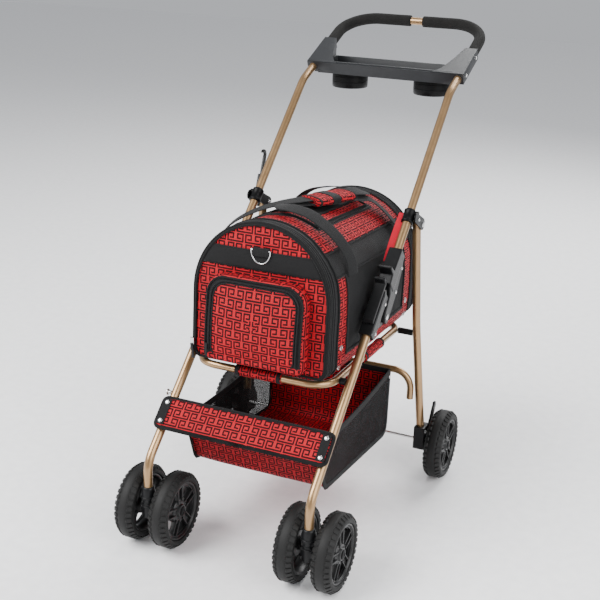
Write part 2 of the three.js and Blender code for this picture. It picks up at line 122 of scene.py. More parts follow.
def in_bag(x: float, a: float, h: float) -> Vector:
    """A point of the bag: x across, a back from its front bottom edge, h up from its base."""
    cos, sin = math.cos(BAG_TILT), math.sin(BAG_TILT)
    return BAG_ORIGIN + Vector((x, a * cos - h * sin, a * sin + h * cos))


def on_seat(x: float, y: float) -> Vector:
    """A point on the seat loop's plane, with y from the front swivel axis."""
    return Vector((x, STEM_Y + y, SEAT_PIVOT.z + (STEM_Y + y - SEAT_PIVOT.y) * math.tan(BAG_TILT)))


# ---------------------------------------------------------------- node materials
class Graph:
    """A material's node tree, with short ways to add to it."""

    def __init__(self, name: str, bumpy: bool = True) -> None:
        """Make an empty material.

        Args:
            name: The material's name.
            bumpy: Whether a bump node feeds the shader's normal.
        """
        self.material = bpy.data.materials.new(name)
        self.material.use_nodes = True
        self.tree = self.material.node_tree
        self.tree.nodes.clear()
        self.shader = self.tree.nodes.new("ShaderNodeBsdfPrincipled")
        output = self.tree.nodes.new("ShaderNodeOutputMaterial")
        self.link(self.shader.outputs[0], output.inputs["Surface"])
        self.bump = None
        if bumpy:
            self.bump = self.tree.nodes.new("ShaderNodeBump")
            self.link(self.bump.outputs[0], self.shader.inputs["Normal"])

    def link(self, source: bpy.types.NodeSocket, target: bpy.types.NodeSocket) -> None:
        """Join two sockets."""
        self.tree.links.new(source, target)

    def put(self, socket: bpy.types.NodeSocket, value: object) -> None:
        """Set a socket's value, or link it where the value is another socket."""
        if isinstance(value, bpy.types.NodeSocket):
            self.link(value, socket)
        else:
            socket.default_value = value

    def math(self, operation: str, *values: object) -> bpy.types.NodeSocket:
        """The result of a math node on up to three values or sockets."""
        node = self.tree.nodes.new("ShaderNodeMath")
        node.operation = operation
        for socket, value in zip(node.inputs, values):
            self.put(socket, value)
        return node.outputs[0]

    def place(self, uv: bool) -> bpy.types.NodeSocket:
        """The surface's own cloth coordinates, or its place in the object."""
        node = self.tree.nodes.new("ShaderNodeTexCoord")
        return node.outputs["UV" if uv else "Object"]

    def axes(self, vector: bpy.types.NodeSocket) -> tuple[bpy.types.NodeSocket, ...]:
        """A vector's three parts."""
        node = self.tree.nodes.new("ShaderNodeSeparateXYZ")
        self.link(vector, node.inputs[0])
        return tuple(node.outputs)

    def noise(self, vector: bpy.types.NodeSocket, scale: float, detail: float = 3.0) -> bpy.types.NodeSocket:
        """A noise texture's value, centred on a half."""
        node = self.tree.nodes.new("ShaderNodeTexNoise")
        self.link(vector, node.inputs["Vector"])
        node.inputs["Scale"].default_value = scale
        node.inputs["Detail"].default_value = detail
        return node.outputs[0]

    def mix(self, factor: object, first: object, second: object) -> bpy.types.NodeSocket:
        """A mix of two colours by a factor."""
        node = self.tree.nodes.new("ShaderNodeMix")
        node.data_type = "RGBA"
        for name, value in (("Factor", factor), ("A", first), ("B", second)):
            socket = next(s for s in node.inputs if s.name == name and s.enabled)
            self.put(socket, value)
        return next(s for s in node.outputs if s.enabled)

    def spread(self, value: bpy.types.NodeSocket, low: float, high: float) -> bpy.types.NodeSocket:
        """A value from 0 to 1 spread between two limits."""
        return self.math("MULTIPLY_ADD", value, high - low, low)

    def set(self, **sockets: object) -> None:
        """Set the shader's sockets by name, with underscores for spaces."""
        for name, value in sockets.items():
            self.put(self.shader.inputs[name.replace("_", " ")], value)

    def raise_by(self, height: bpy.types.NodeSocket, distance: float, strength: float = 1.0) -> None:
        """Feed the bump with a height."""
        self.link(height, self.bump.inputs["Height"])
        self.bump.inputs["Distance"].default_value = distance
        self.bump.inputs["Strength"].default_value = strength


Colour = tuple[float, float, float, float]
Chart = Callable[[Vector], tuple[float, float]]


def shade(red: float, green: float, blue: float) -> Colour:
    """A colour from its screen values, as the linear values that shaders take."""
    linear = (c / 12.92 if c <= 0.04045 else ((c + 0.055) / 1.055) ** 2.4 for c in (red, green, blue))
    return (*linear, 1.0)


def scaled(colour: Colour, factor: float, lift: float = 0.0) -> Colour:
    """A colour made lighter or darker."""
    return (*(min(1.0, c * factor + lift) for c in colour[:3]), 1.0)


class Finish:
    """A finish whose material is built once, the first time a piece asks for it."""

    slot: str
    built: dict[str, bpy.types.Material] = {}

    def build(self) -> bpy.types.Material:
        """Make the node material."""
        raise NotImplementedError

    def material(self) -> bpy.types.Material:
        """The finish's material."""
        key = repr(self)
        if key not in Finish.built:
            Finish.built[key] = self.build()
        return Finish.built[key]


@dataclass(frozen=True)
class CoatedTube(Finish):
    """Satin metallic coating on steel tube, slightly orange-peeled."""

    slot: str = "gold_tube"
    light: Colour = shade(0.66, 0.53, 0.38)
    dark: Colour = shade(0.55, 0.43, 0.29)

    def build(self) -> bpy.types.Material:
        """Make the node material."""
        g = Graph("champagne_coat")
        place = g.place(False)
        cloud = g.noise(place, 9.0)
        g.set(Base_Color=g.mix(cloud, self.dark, self.light), Metallic=0.82, Coat_Weight=0.35)
        g.set(Coat_Roughness=0.12, Roughness=g.spread(g.noise(place, 60.0), 0.24, 0.4))
        g.raise_by(g.noise(place, 900.0, 2.0), 0.00012, 0.5)
        return g.material


@dataclass(frozen=True)
class BrightSteel(Finish):
    """Nickel-bright steel with faint handling marks."""

    slot: str = "steel"

    def build(self) -> bpy.types.Material:
        """Make the node material."""
        g = Graph("bright_steel")
        place = g.place(False)
        tint = g.mix(g.noise(place, 80.0), shade(0.70, 0.70, 0.71), shade(0.88, 0.88, 0.87))
        g.set(Base_Color=tint, Metallic=1.0, Roughness=g.spread(g.noise(place, 300.0), 0.16, 0.34))
        g.raise_by(g.noise(place, 1500.0), 0.00005)
        return g.material


@dataclass(frozen=True)
class Moulded(Finish):
    """Injection-moulded plastic with a fine grain."""

    name: str
    slot: str
    tint: Colour
    roughness: float
    grain: float = 1400.0
    depth: float = 0.00012
    shine: float = 0.4

    def build(self) -> bpy.types.Material:
        """Make the node material."""
        g = Graph(self.name)
        place = g.place(False)
        cloud = g.mix(g.noise(place, 40.0), self.tint, scaled(self.tint, 1.5, 0.002))
        g.set(Base_Color=cloud)
        rough = g.spread(g.noise(place, 120.0), self.roughness - 0.07, self.roughness + 0.07)
        g.set(Roughness=rough, Specular_IOR_Level=self.shine)
        g.raise_by(g.noise(place, self.grain, 2.0), self.depth)
        return g.material


@dataclass(frozen=True)
class GripFoam(Finish):
    """Closed-cell foam with small pores."""

    slot: str = "foam"

    def build(self) -> bpy.types.Material:
        """Make the node material."""
        g = Graph("grip_foam")
        place = g.place(False)
        cells = g.tree.nodes.new("ShaderNodeTexVoronoi")
        g.link(place, cells.inputs["Vector"])
        cells.inputs["Scale"].default_value = 900.0
        g.set(Base_Color=g.mix(g.noise(place, 50.0), shade(0.055, 0.053, 0.05), shade(0.10, 0.097, 0.093)))
        g.set(Roughness=0.94, Specular_IOR_Level=0.25)
        g.raise_by(cells.outputs["Distance"], 0.0004, 0.8)
        return g.material


@dataclass(frozen=True)
class FretCloth(Finish):
    """Woven polyester with mirrored square scrolls, laid out in the cloth's own coordinates in metres."""

    name: str = "red_fret_cloth"
    slot: str = "red_fabric"
    ground: Colour = shade(0.70, 0.02, 0.095)
    figure: Colour = shade(0.075, 0.010, 0.016)
    pitch: float = 0.020

    def build(self) -> bpy.types.Material:
        """Make the node material."""
        g = Graph(self.name)
        uv = g.place(True)
        u, v, _ = g.axes(uv)
        row = g.math("DIVIDE", v, self.pitch)
        shift = g.math("FLOORED_MODULO", g.math("FLOOR", row), 2.0)
        across = g.math("PINGPONG", g.math("ADD", g.math("DIVIDE", u, self.pitch), shift), 1.0)
        up = g.math("FRACT", row)
        stroke = 0.082
        runs = (
            (0.42, 0.13, 0.50, stroke), (0.84, 0.50, stroke, 0.45), (0.54, 0.87, 0.38, stroke),
            (0.24, 0.65, stroke, 0.30), (0.40, 0.43, 0.24, stroke),
        )
        figure: object = 0.0
        for x, y, half_x, half_y in runs:
            wide = g.math("LESS_THAN", g.math("ABSOLUTE", g.math("SUBTRACT", across, x)), half_x)
            high = g.math("LESS_THAN", g.math("ABSOLUTE", g.math("SUBTRACT", up, y)), half_y)
            figure = g.math("MAXIMUM", figure, g.math("MULTIPLY", wide, high))
        thread = self.weave(g, u, v)
        cloud = g.noise(uv, 14.0)
        ground = g.mix(cloud, scaled(self.ground, 0.72), self.ground)
        # The black figure is lightened towards dark red on the raised threads, following the weave's height:
        # a painted highlight on the thread tops.
        figure_thread_highlight = g.mix(g.spread(thread, 0.0, 0.3), self.figure, shade(0.24, 0.02, 0.04))
        g.set(Base_Color=g.mix(figure, ground, figure_thread_highlight), Roughness=g.spread(figure, 0.58, 0.8))
        g.set(Specular_IOR_Level=0.2)
        g.raise_by(g.math("SUBTRACT", thread, g.math("MULTIPLY", figure, 0.8)), 0.00022)
        return g.material

    @staticmethod
    def weave(g: Graph, u: bpy.types.NodeSocket, v: bpy.types.NodeSocket) -> bpy.types.NodeSocket:
        """The height of a plain weave of 0.7 mm threads.

        Args:
            g: The graph to add to.
            u: The coordinate along the cloth, in metres.
            v: The coordinate across it, in metres.

        Returns:
            A height from 0 to 1.
        """
        waves = [g.math("SINE", g.math("MULTIPLY", axis, TAU / 0.0014)) for axis in (u, v)]
        return g.math("MULTIPLY_ADD", g.math("MULTIPLY", *waves), 0.5, 0.5)


@dataclass(frozen=True)
class Webbing(Finish):
    """Black woven tape, ribbed across its length."""

    name: str = "black_webbing"
    slot: str = "black_fabric"
    rib: float = 0.0022
    tint: Colour = shade(0.055, 0.055, 0.058)

    def build(self) -> bpy.types.Material:
        """Make the node material."""
        g = Graph(self.name)
        uv = g.place(True)
        u, v, _ = g.axes(uv)
        ribs = g.math("SINE", g.math("MULTIPLY", u, TAU / self.rib))
        cross = g.math("SINE", g.math("MULTIPLY", v, TAU / 0.0011))
        height = g.math("MULTIPLY_ADD", g.math("ADD", ribs, g.math("MULTIPLY", cross, 0.5)), 0.33, 0.5)
        # The colour mixes random mottle with the ribs' height, so the rib crests are lighter and the grooves
        # between them darker: painted shade in the grooves.
        mottle_and_rib_shade = g.math("MULTIPLY_ADD", g.noise(uv, 30.0), 0.5, g.math("MULTIPLY", height, 0.3))
        g.set(Base_Color=g.mix(mottle_and_rib_shade, self.tint, scaled(self.tint, 1.6)))
        g.set(Roughness=g.spread(g.noise(uv, 200.0), 0.72, 0.92))
        g.set(Sheen_Weight=0.04, Sheen_Roughness=0.45, Specular_IOR_Level=0.22)
        g.raise_by(height, 0.0003)
        return g.material


@dataclass(frozen=True)
class Netting(Finish):
    """Open black net: the threads are solid and the holes between them let light through."""

    name: str
    slot: str = "black_fabric"
    cover: float = 0.82
    cell: float = 0.0022
    tint: Colour = shade(0.05, 0.05, 0.053)

    def build(self) -> bpy.types.Material:
        """Make the node material."""
        g = Graph(self.name)
        uv = g.place(True)
        cells = g.tree.nodes.new("ShaderNodeTexVoronoi")
        cells.inputs["Randomness"].default_value = 0.15
        cells.inputs["Scale"].default_value = 1.0 / self.cell
        g.link(uv, cells.inputs["Vector"])
        hole = g.math("LESS_THAN", cells.outputs["Distance"], 0.42)
        g.set(Base_Color=g.mix(g.noise(uv, 25.0), self.tint, scaled(self.tint, 1.8)))
        g.set(Alpha=g.spread(hole, 1.0, self.cover), Roughness=0.8, Specular_IOR_Level=0.22)
        g.raise_by(g.math("SUBTRACT", 1.0, cells.outputs["Distance"]), 0.0003)
        return g.material


GOLD = CoatedTube()
STEEL = BrightSteel()
PLASTIC = Moulded("moulded_black", "black_plastic", shade(0.055, 0.056, 0.06), 0.34, depth=0.0001, shine=0.18)
GLOSS = Moulded("polished_black", "gloss_black", shade(0.03, 0.03, 0.033), 0.36, 500.0, 0.00004, shine=0.10)
TRAY = Moulded("charcoal_tray", "tray_plastic", shade(0.095, 0.10, 0.108), 0.36, 2200.0, 0.00008, shine=0.35)
WHEEL = Moulded("wheel_nylon", "wheel_plastic", shade(0.065, 0.065, 0.067), 0.36, 900.0, 0.0001)
TYRE = Moulded("tyre_rubber", "tyre", shade(0.052, 0.051, 0.049), 0.62, 500.0, 0.0003, shine=0.28)
FOAM = GripFoam()
FRET = FretCloth()
TAPE = Webbing()
PIPING = Webbing("black_piping", "black_fabric", 0.0009, shade(0.04, 0.04, 0.043))
ZIP_TAPE = Webbing("zip_tape", "black_fabric", 0.0016, shade(0.06, 0.06, 0.064))
PLAIN_RED = Webbing("crimson_strap", "red_fabric", 0.0016, shade(0.62, 0.03, 0.13))
WINDOW_NET = Netting("window_net", cover=0.93)
BASKET_NET = Netting("basket_net", cover=0.55)


# ---------------------------------------------------------------- shapes
Ring = list[Vector]


def smooth(t: float) -> float:
    """A smooth step from 0 to 1."""
    t = min(1.0, max(0.0, t))
    return t * t * (3 - 2 * t)


def steps(*bounds: float, size: float) -> list[float]:
    """Values that run through every bound, with no gap larger than a size."""
    values = [bounds[0]]
    for low, high in zip(bounds, bounds[1:]):
        count = max(1, math.ceil((high - low) / size - 1e-6))
        values += [low + (high - low) * i / count for i in range(1, count + 1)]
    return values


def link(obj: bpy.types.Object) -> bpy.types.Object:
    """Put an object in the scene."""
    bpy.context.scene.collection.objects.link(obj)
    return obj


def smooth_by_angle(mesh: bpy.types.Mesh, degrees: float = 35.0) -> None:
    """Shade a mesh smooth, with edges sharper than an angle kept crisp."""
    mesh.polygons.foreach_set("use_smooth", [True] * len(mesh.polygons))
    mesh.set_sharp_from_angle(angle=math.radians(degrees))


def apply_modifiers(obj: bpy.types.Object) -> None:
    """Turn an object's modified shape into its mesh."""
    bpy.context.view_layer.update()
    graph = bpy.context.evaluated_depsgraph_get()
    mesh = bpy.data.meshes.new_from_object(obj.evaluated_get(graph), depsgraph=graph)
    obj.modifiers.clear()
    obj.data = mesh


def thicken(
    obj: bpy.types.Object, thickness: float, inwards: bool = True, angle: float | None = 60.0,
) -> bpy.types.Object:
    """Give a sheet its thickness.

    Args:
        obj: The sheet.
        thickness: How thick it becomes.
        inwards: Whether it all goes to the back of the sheet, or half to each side.
        angle: The angle in degrees over which an edge stays crisp, or None to leave the shading.

    Returns:
        The same object.
    """
    thick = obj.modifiers.new("thickness", "SOLIDIFY")
    thick.thickness, thick.offset = thickness, -1.0 if inwards else 0.0
    apply_modifiers(obj)
    if angle is not None:
        smooth_by_angle(obj.data, angle)
    return obj


def face_along(obj: bpy.types.Object, outward: Point, middle: bool = False) -> None:
    """Flip a sheet whose first face, or its middle one, faces against a direction."""
    faces = obj.data.polygons
    if faces[len(faces) // 2 if middle else 0].normal.dot(Vector(outward)) < 0:
        obj.data.flip_normals()


class Shape:
    """A mesh under construction, with a cloth coordinate for each corner and a finish for each face."""

    def __init__(self) -> None:
        """Start with nothing."""
        self.points: list[Vector] = []
        self.faces: list[tuple[int, ...]] = []
        self.corners: list[tuple[tuple[float, float], ...]] = []
        self.finishes: list[Finish] = []

    def grid(
        self, rows: Sequence[Sequence[Vector]], finish: Finish, loop: bool = False, closed: bool = False,
        origin: tuple[float, float] = (0.0, 0.0), flip: bool = False,
    ) -> None:
        """Add a grid of faces, with cloth coordinates in metres along both of its directions.

        Args:
            rows: Rows of points, all equally long.
            finish: What the faces are finished in.
            loop: Whether each row closes on itself.
            closed: Whether the last row joins the first.
            origin: Where the cloth coordinates start.
            flip: Whether the faces turn the other way.
        """
        base, width, height = len(self.points), len(rows[0]), len(rows)
        for row in rows:
            self.points.extend(Vector(p) for p in row)
        middle = rows[height // 2]
        along = [0.0]
        for j in range(width):
            along.append(along[-1] + (middle[(j + 1) % width] - middle[j]).length)
        up = [0.0]
        for i in range(height):
            first, second = rows[i], rows[(i + 1) % height]
            up.append(up[-1] + max((a - b).length for a, b in zip(first, second)) * 0.5
                      + (first[width // 2] - second[width // 2]).length * 0.5)
        for i in range(height if closed else height - 1):
            for j in range(width if loop else width - 1):
                k, m = (i + 1) % height, (j + 1) % width
                quad = [base + row * width + column for row, column in ((i, j), (i, m), (k, m), (k, j))]
                uv = [(origin[0] + along[p], origin[1] + up[q])
                      for p, q in ((j, i), (j + 1, i), (j + 1, i + 1), (j, i + 1))]
                if flip:
                    quad, uv = quad[::-1], uv[::-1]
                self.faces.append(tuple(quad))
                self.corners.append(tuple(uv))
                self.finishes.append(finish)

    def cap(self, ring: Sequence[Vector], finish: Finish, flip: bool = False) -> None:
        """Close a ring of points with triangles about its middle.

        Args:
            ring: The ring's points.
            finish: What the faces are finished in.
            flip: Whether the faces turn the other way.
        """
        base, count = len(self.points), len(ring)
        centre = sum(ring, Vector()) / count
        self.points.extend([centre, *ring])
        for i in range(count):
            face = [base, base + 1 + i, base + 1 + (i + 1) % count]
            if flip:
                face.reverse()
            self.faces.append(tuple(face))
            self.corners.append(tuple((self.points[v].x, self.points[v].z) for v in face))
            self.finishes.append(finish)

    def chart(self, place: Chart) -> None:
        """Lay every face's cloth coordinates by a function of its points."""
        self.corners = [tuple(place(self.points[v]) for v in face) for face in self.faces]

    def object(self, name: str, merge: float = 1e-5, angle: float = 35.0) -> bpy.types.Object:
        """Make the object, with doubled points merged and its faces turned outwards.

        Args:
            name: The object's name.
            merge: How close two points are to be one.
            angle: The angle in degrees over which an edge stays crisp.

        Returns:
            The object, linked to the scene.
        """
        mesh = bpy.data.meshes.new(name)
        mesh.from_pydata(self.points, [], self.faces)
        layer = mesh.uv_layers.new(name="cloth")
        slots: list[Finish] = []
        for polygon, uvs, finish in zip(mesh.polygons, self.corners, self.finishes):
            if finish not in slots:
                slots.append(finish)
                mesh.materials.append(finish.material())
            polygon.material_index = slots.index(finish)
            for index, uv in zip(polygon.loop_indices, uvs):
                layer.data[index].uv = uv
        work = bmesh.new()
        work.from_mesh(mesh)
        bmesh.ops.remove_doubles(work, verts=work.verts, dist=merge)
        bmesh.ops.recalc_face_normals(work, faces=work.faces)
        work.to_mesh(mesh)
        work.free()
        smooth_by_angle(mesh, angle)
        return link(bpy.data.objects.new(name, mesh))


def arc_path(corners: Sequence[tuple[Vector, float]], step: float = math.radians(7)) -> list[Vector]:
    """A path through corners, each rounded to a radius.

    Args:
        corners: Each corner and its radius; the ends' radii are ignored.
        step: The turn between points of a bend.

    Returns:
        The path's points.
    """
    path = [corners[0][0]]
    for (before, _), (corner, radius), (after, _) in zip(corners, corners[1:], corners[2:]):
        inward, outward = (before - corner).normalized(), (after - corner).normalized()
        turn = math.pi - inward.angle(outward)
        if radius <= 0 or turn < 1e-3:
            path.append(corner)
            continue
        reach = radius * math.tan(turn / 2)
        middle = corner + (inward + outward).normalized() * (radius / math.cos(turn / 2))
        start, end = corner + inward * reach - middle, corner + outward * reach - middle
        axis = start.cross(end).normalized()
        count = max(2, math.ceil(turn / step))
        path.extend(middle + Matrix.Rotation(turn * i / count, 3, axis) @ start for i in range(count + 1))
    path.append(corners[-1][0])
    return path


def along_path(path: Sequence[Vector]) -> list[float]:
    """The distance along a path at each of its points."""
    lengths = [0.0]
    for a, b in zip(path, path[1:]):
        lengths.append(lengths[-1] + (b - a).length)
    return lengths


def resample(path: Sequence[Vector], spacing: float) -> list[Vector]:
    """A path's points again, at even spacing."""
    lengths = along_path(path)
    count = max(2, round(lengths[-1] / spacing))
    result, k = [], 0
    for i in range(count + 1):
        want = lengths[-1] * i / count
        while k < len(path) - 2 and lengths[k + 1] < want:
            k += 1
        span = lengths[k + 1] - lengths[k]
        result.append(path[k].lerp(path[k + 1], (want - lengths[k]) / span if span else 0.0))
    return result


def frames(path: Sequence[Vector], up: Point) -> list[tuple[Vector, Vector, Vector]]:
    """Each point's direction, side and upward vectors, carried along a path without twist.

    Args:
        path: The path's points.
        up: The upward vector at the start.

    Returns:
        One triple for each point.
    """
    result: list[tuple[Vector, Vector, Vector]] = []
    rise = Vector(up)
    for i, _ in enumerate(path):
        ahead = (path[min(i + 1, len(path) - 1)] - path[max(i - 1, 0)]).normalized()
        rise = (rise - ahead * rise.dot(ahead)).normalized()
        result.append((ahead, ahead.cross(rise), rise))
    return result


def oval(
    half_wide: float, half_high: float, count: int = 24, power: float = 2.0,
) -> list[tuple[float, float]]:
    """A rounded section: an ellipse, or with a higher power one with squarer corners."""
    result = []
    for i in range(count):
        c, s = math.cos(TAU * i / count), math.sin(TAU * i / count)
        result.append((half_wide * math.copysign(abs(c) ** (2 / power), c),
                       half_high * math.copysign(abs(s) ** (2 / power), s)))
    return result


def sweep(
    shape: Shape, path: Sequence[Vector], section: Sequence[tuple[float, float]], finish: Finish,
    up: Point = (0, 0, 1), round_ends: float = 0.0, scale: Callable[[float], float] = lambda t: 1.0,
    caps: bool = True,
) -> None:
    """Carry a section along a path.

    Args:
        shape: The shape to add to.
        path: The path's points.
        section: The section's points, sideways and upwards.
        finish: What it is finished in.
        up: The section's upward vector at the start.
        round_ends: How far each end is rounded over.
        scale: The section's size at each fraction of the path.
        caps: Whether the ends are closed.
    """
    lengths = along_path(path)
    total = lengths[-1]
    rings: list[Ring] = []
    for i, (point, (ahead, side, rise)) in enumerate(zip(path, frames(path, up))):
        size = scale(lengths[i] / total)
        ring = [point + side * (x * size) + rise * (y * size) for x, y in section]
        rings.append(ring)
        if round_ends and i in (0, len(path) - 1):
            turns = []
            for k in range(1, 5):
                angle = math.pi / 2 * k / 4
                out = ahead * round_ends * (math.sin(angle) * (-1 if i == 0 else 1))
                shrink = 1 - (1 - math.cos(angle)) * 0.55
                turns.append([point + out + (p - point) * shrink for p in ring])
            if i == 0:
                rings[:0] = turns[::-1]
            else:
                rings.extend(turns)
    shape.grid(rings, finish, loop=True)
    if caps:
        shape.cap(rings[0], finish, flip=True)
        shape.cap(rings[-1], finish)


def lathe(
    shape: Shape, profile: Sequence[tuple[float, float]], centre: Vector, axis: Point, finish: Finish,
    count: int = 64, closed: bool = False,
) -> None:
    """Turn a profile about an axis.

    Args:
        shape: The shape to add to.
        profile: Pairs of distance along the axis and radius.
        centre: The point the profile is measured from.
        axis: The axis.
        finish: What it is finished in.
        count: How many faces go round.
        closed: Whether the profile closes on itself, as a tyre's does.
    """
    ahead = Vector(axis).normalized()
    side = ahead.orthogonal().normalized()
    rise = ahead.cross(side)
    spokes = [side * math.cos(TAU * i / count) + rise * math.sin(TAU * i / count) for i in range(count)]
    rings = [[centre + ahead * t + spoke * r for spoke in spokes] for t, r in profile]
    shape.grid(rings, finish, loop=True, closed=closed)
    if not closed:
        for ring, (_, radius), flip in ((rings[0], profile[0], True), (rings[-1], profile[-1], False)):
            if radius > 1e-4:
                shape.cap(ring, finish, flip=flip)


def ribbon(
    shape: Shape, path: Sequence[Vector], normals: Sequence[Vector], width: float, thickness: float,
    finish: Finish,
) -> None:
    """A flat band along a path, with rounded edges.

    Args:
        shape: The shape to add to.
        path: The middle of the band.
        normals: The band's outward direction at each point.
        width: Its width.
        thickness: Its thickness.
        finish: What it is finished in.
    """
    rings: list[Ring] = []
    section = oval(width / 2, thickness / 2, 12, 5.0)
    for i, (point, normal) in enumerate(zip(path, normals)):
        ahead = (path[min(i + 1, len(path) - 1)] - path[max(i - 1, 0)]).normalized()
        across = ahead.cross(normal).normalized()
        rise = across.cross(ahead)
        rings.append([point + across * x + rise * y for x, y in section])
    base = len(shape.corners)
    shape.grid(rings, finish, loop=True)
    lengths = along_path(path)
    width_at = [x for x, _ in section]
    columns = len(section)
    for index in range(base, len(shape.corners)):
        i, j = divmod(index - base, columns)
        m = (j + 1) % columns
        shape.corners[index] = (
            (lengths[i], width_at[j]), (lengths[i], width_at[m]),
            (lengths[i + 1], width_at[m]), (lengths[i + 1], width_at[j]),
        )
    shape.cap(rings[0], finish, flip=True)
    shape.cap(rings[-1], finish)


def box(shape: Shape, low: Point, high: Point, finish: Finish, turn: Matrix | None = None) -> None:
    """Add a box between two corners, set by a matrix where one is given."""
    points = [Vector((x, y, z))
              for z in (low[2], high[2]) for y in (low[1], high[1]) for x in (low[0], high[0])]
    if turn is not None:
        points = [turn @ p for p in points]
    base = len(shape.points)
    shape.points.extend(points)
    for face in ((0, 2, 3, 1), (4, 5, 7, 6), (0, 1, 5, 4), (2, 6, 7, 3), (0, 4, 6, 2), (1, 3, 7, 5)):
        shape.faces.append(tuple(base + i for i in face))
        shape.corners.append(((0.0, 0.0), (0.01, 0.0), (0.01, 0.01), (0.0, 0.01)))
        shape.finishes.append(finish)


def place_all(obj: bpy.types.Object, body: str, *nodes: str, slot: str) -> bpy.types.Object:
    """Attach a finished object to its body, and stand it in for nodes of the frame."""
    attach(obj, body)
    if nodes:
        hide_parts(*nodes)
    LOG.info("%s: %d faces", obj.name, len(obj.data.polygons))
    return obj


def refined(
    node: str, name: str, finish: Finish, body: str, bevel: float = 0.0012, extra: Shape | None = None,
    segments: int = 3, melt: int = 0,
) -> bpy.types.Object:
    """A copy of a node of the frame with softened edges and its real finish.

    Args:
        node: The node to copy and stand in for.
        name: The new object's name.
        finish: What it is finished in.
        body: The body it rides on.
        bevel: How far its edges are rounded.
        extra: More shapes joined to it.
        segments: Faces across each rounded edge.
        melt: How many times to smooth a fine copy of the node, which rounds it like a moulding.

    Returns:
        The object.
    """
    mesh = bpy.data.objects[node].data.copy()
    mesh.transform(bpy.data.objects[node].matrix_world)
    mesh.materials.clear()
    mesh.materials.append(finish.material())
    work = bmesh.new()
    work.from_mesh(mesh)
    bmesh.ops.remove_doubles(work, verts=work.verts, dist=2e-5)
    bmesh.ops.dissolve_limit(work, angle_limit=math.radians(1.0), verts=work.verts, edges=work.edges)
    work.to_mesh(mesh)
    work.free()
    mesh.name = name
    obj = link(bpy.data.objects.new(name, mesh))
    if melt:
        fine = obj.modifiers.new("fine", "REMESH")
        fine.mode, fine.voxel_size = "VOXEL", MELT_VOXEL
        figure_thread_highlight = obj.modifiers.new("moulded", "SMOOTH")
        figure_thread_highlight.factor, figure_thread_highlight.iterations = 0.5, melt
    else:
        round_over = obj.modifiers.new("soft edges", "BEVEL")
        round_over.width, round_over.segments, round_over.limit_method = bevel, segments, "ANGLE"
        round_over.angle_limit = BEVEL_ANGLE
    apply_modifiers(obj)
    for polygon in obj.data.polygons:
        polygon.material_index = 0
    if extra and extra.faces:
        obj = join(obj, extra.object(f"{name}_fittings"))
    smooth_by_angle(obj.data, 40.0)
    return place_all(obj, body, node, slot=finish.slot)


def join(*objects: bpy.types.Object) -> bpy.types.Object:
    """Join objects into the first of them."""
    work = bmesh.new()
    slots: list[bpy.types.Material] = []
    for obj in objects:
        part = bmesh.new()
        part.from_mesh(obj.data)
        for material in obj.data.materials:
            if material not in slots:
                slots.append(material)
        places = [slots.index(m) for m in obj.data.materials]
        for face in part.faces:
            face.material_index = places[face.material_index]
        holder = bpy.data.meshes.new("holder")
        part.to_mesh(holder)
        part.free()
        if holder.uv_layers and holder.uv_layers[0].name != "cloth":
            holder.uv_layers[0].name = "cloth"
        work.from_mesh(holder)
        bpy.data.meshes.remove(holder)
    first = objects[0]
    mesh = bpy.data.meshes.new(first.data.name)
    work.to_mesh(mesh)
    work.free()
    for material in slots:
        mesh.materials.append(material)
    for obj in objects[1:]:
        bpy.data.objects.remove(obj)
    first.data = mesh
    return first


def rivet(shape: Shape, centre: Vector, axis: Point, radius: float = 0.0045, finish: Finish = STEEL) -> None:
    """A domed rivet head standing on a surface."""
    profile = [(-0.0004, radius), (0.0006, radius), (0.0014, radius * 0.82), (0.0019, radius * 0.45),
               (0.002, 2e-5)]
    lathe(shape, profile, centre, axis, finish, 20)


def bolt(shape: Shape, centre: Vector, axis: Point, radius: float, finish: Finish = STEEL) -> None:
    """A bolt head with a socket in its middle."""
    profile = [(-0.0005, radius), (0.0022, radius), (0.003, radius * 0.85), (0.003, radius * 0.42),
               (0.0014, radius * 0.4), (0.0012, 2e-5)]
    lathe(shape, profile, centre, axis, finish, 24)


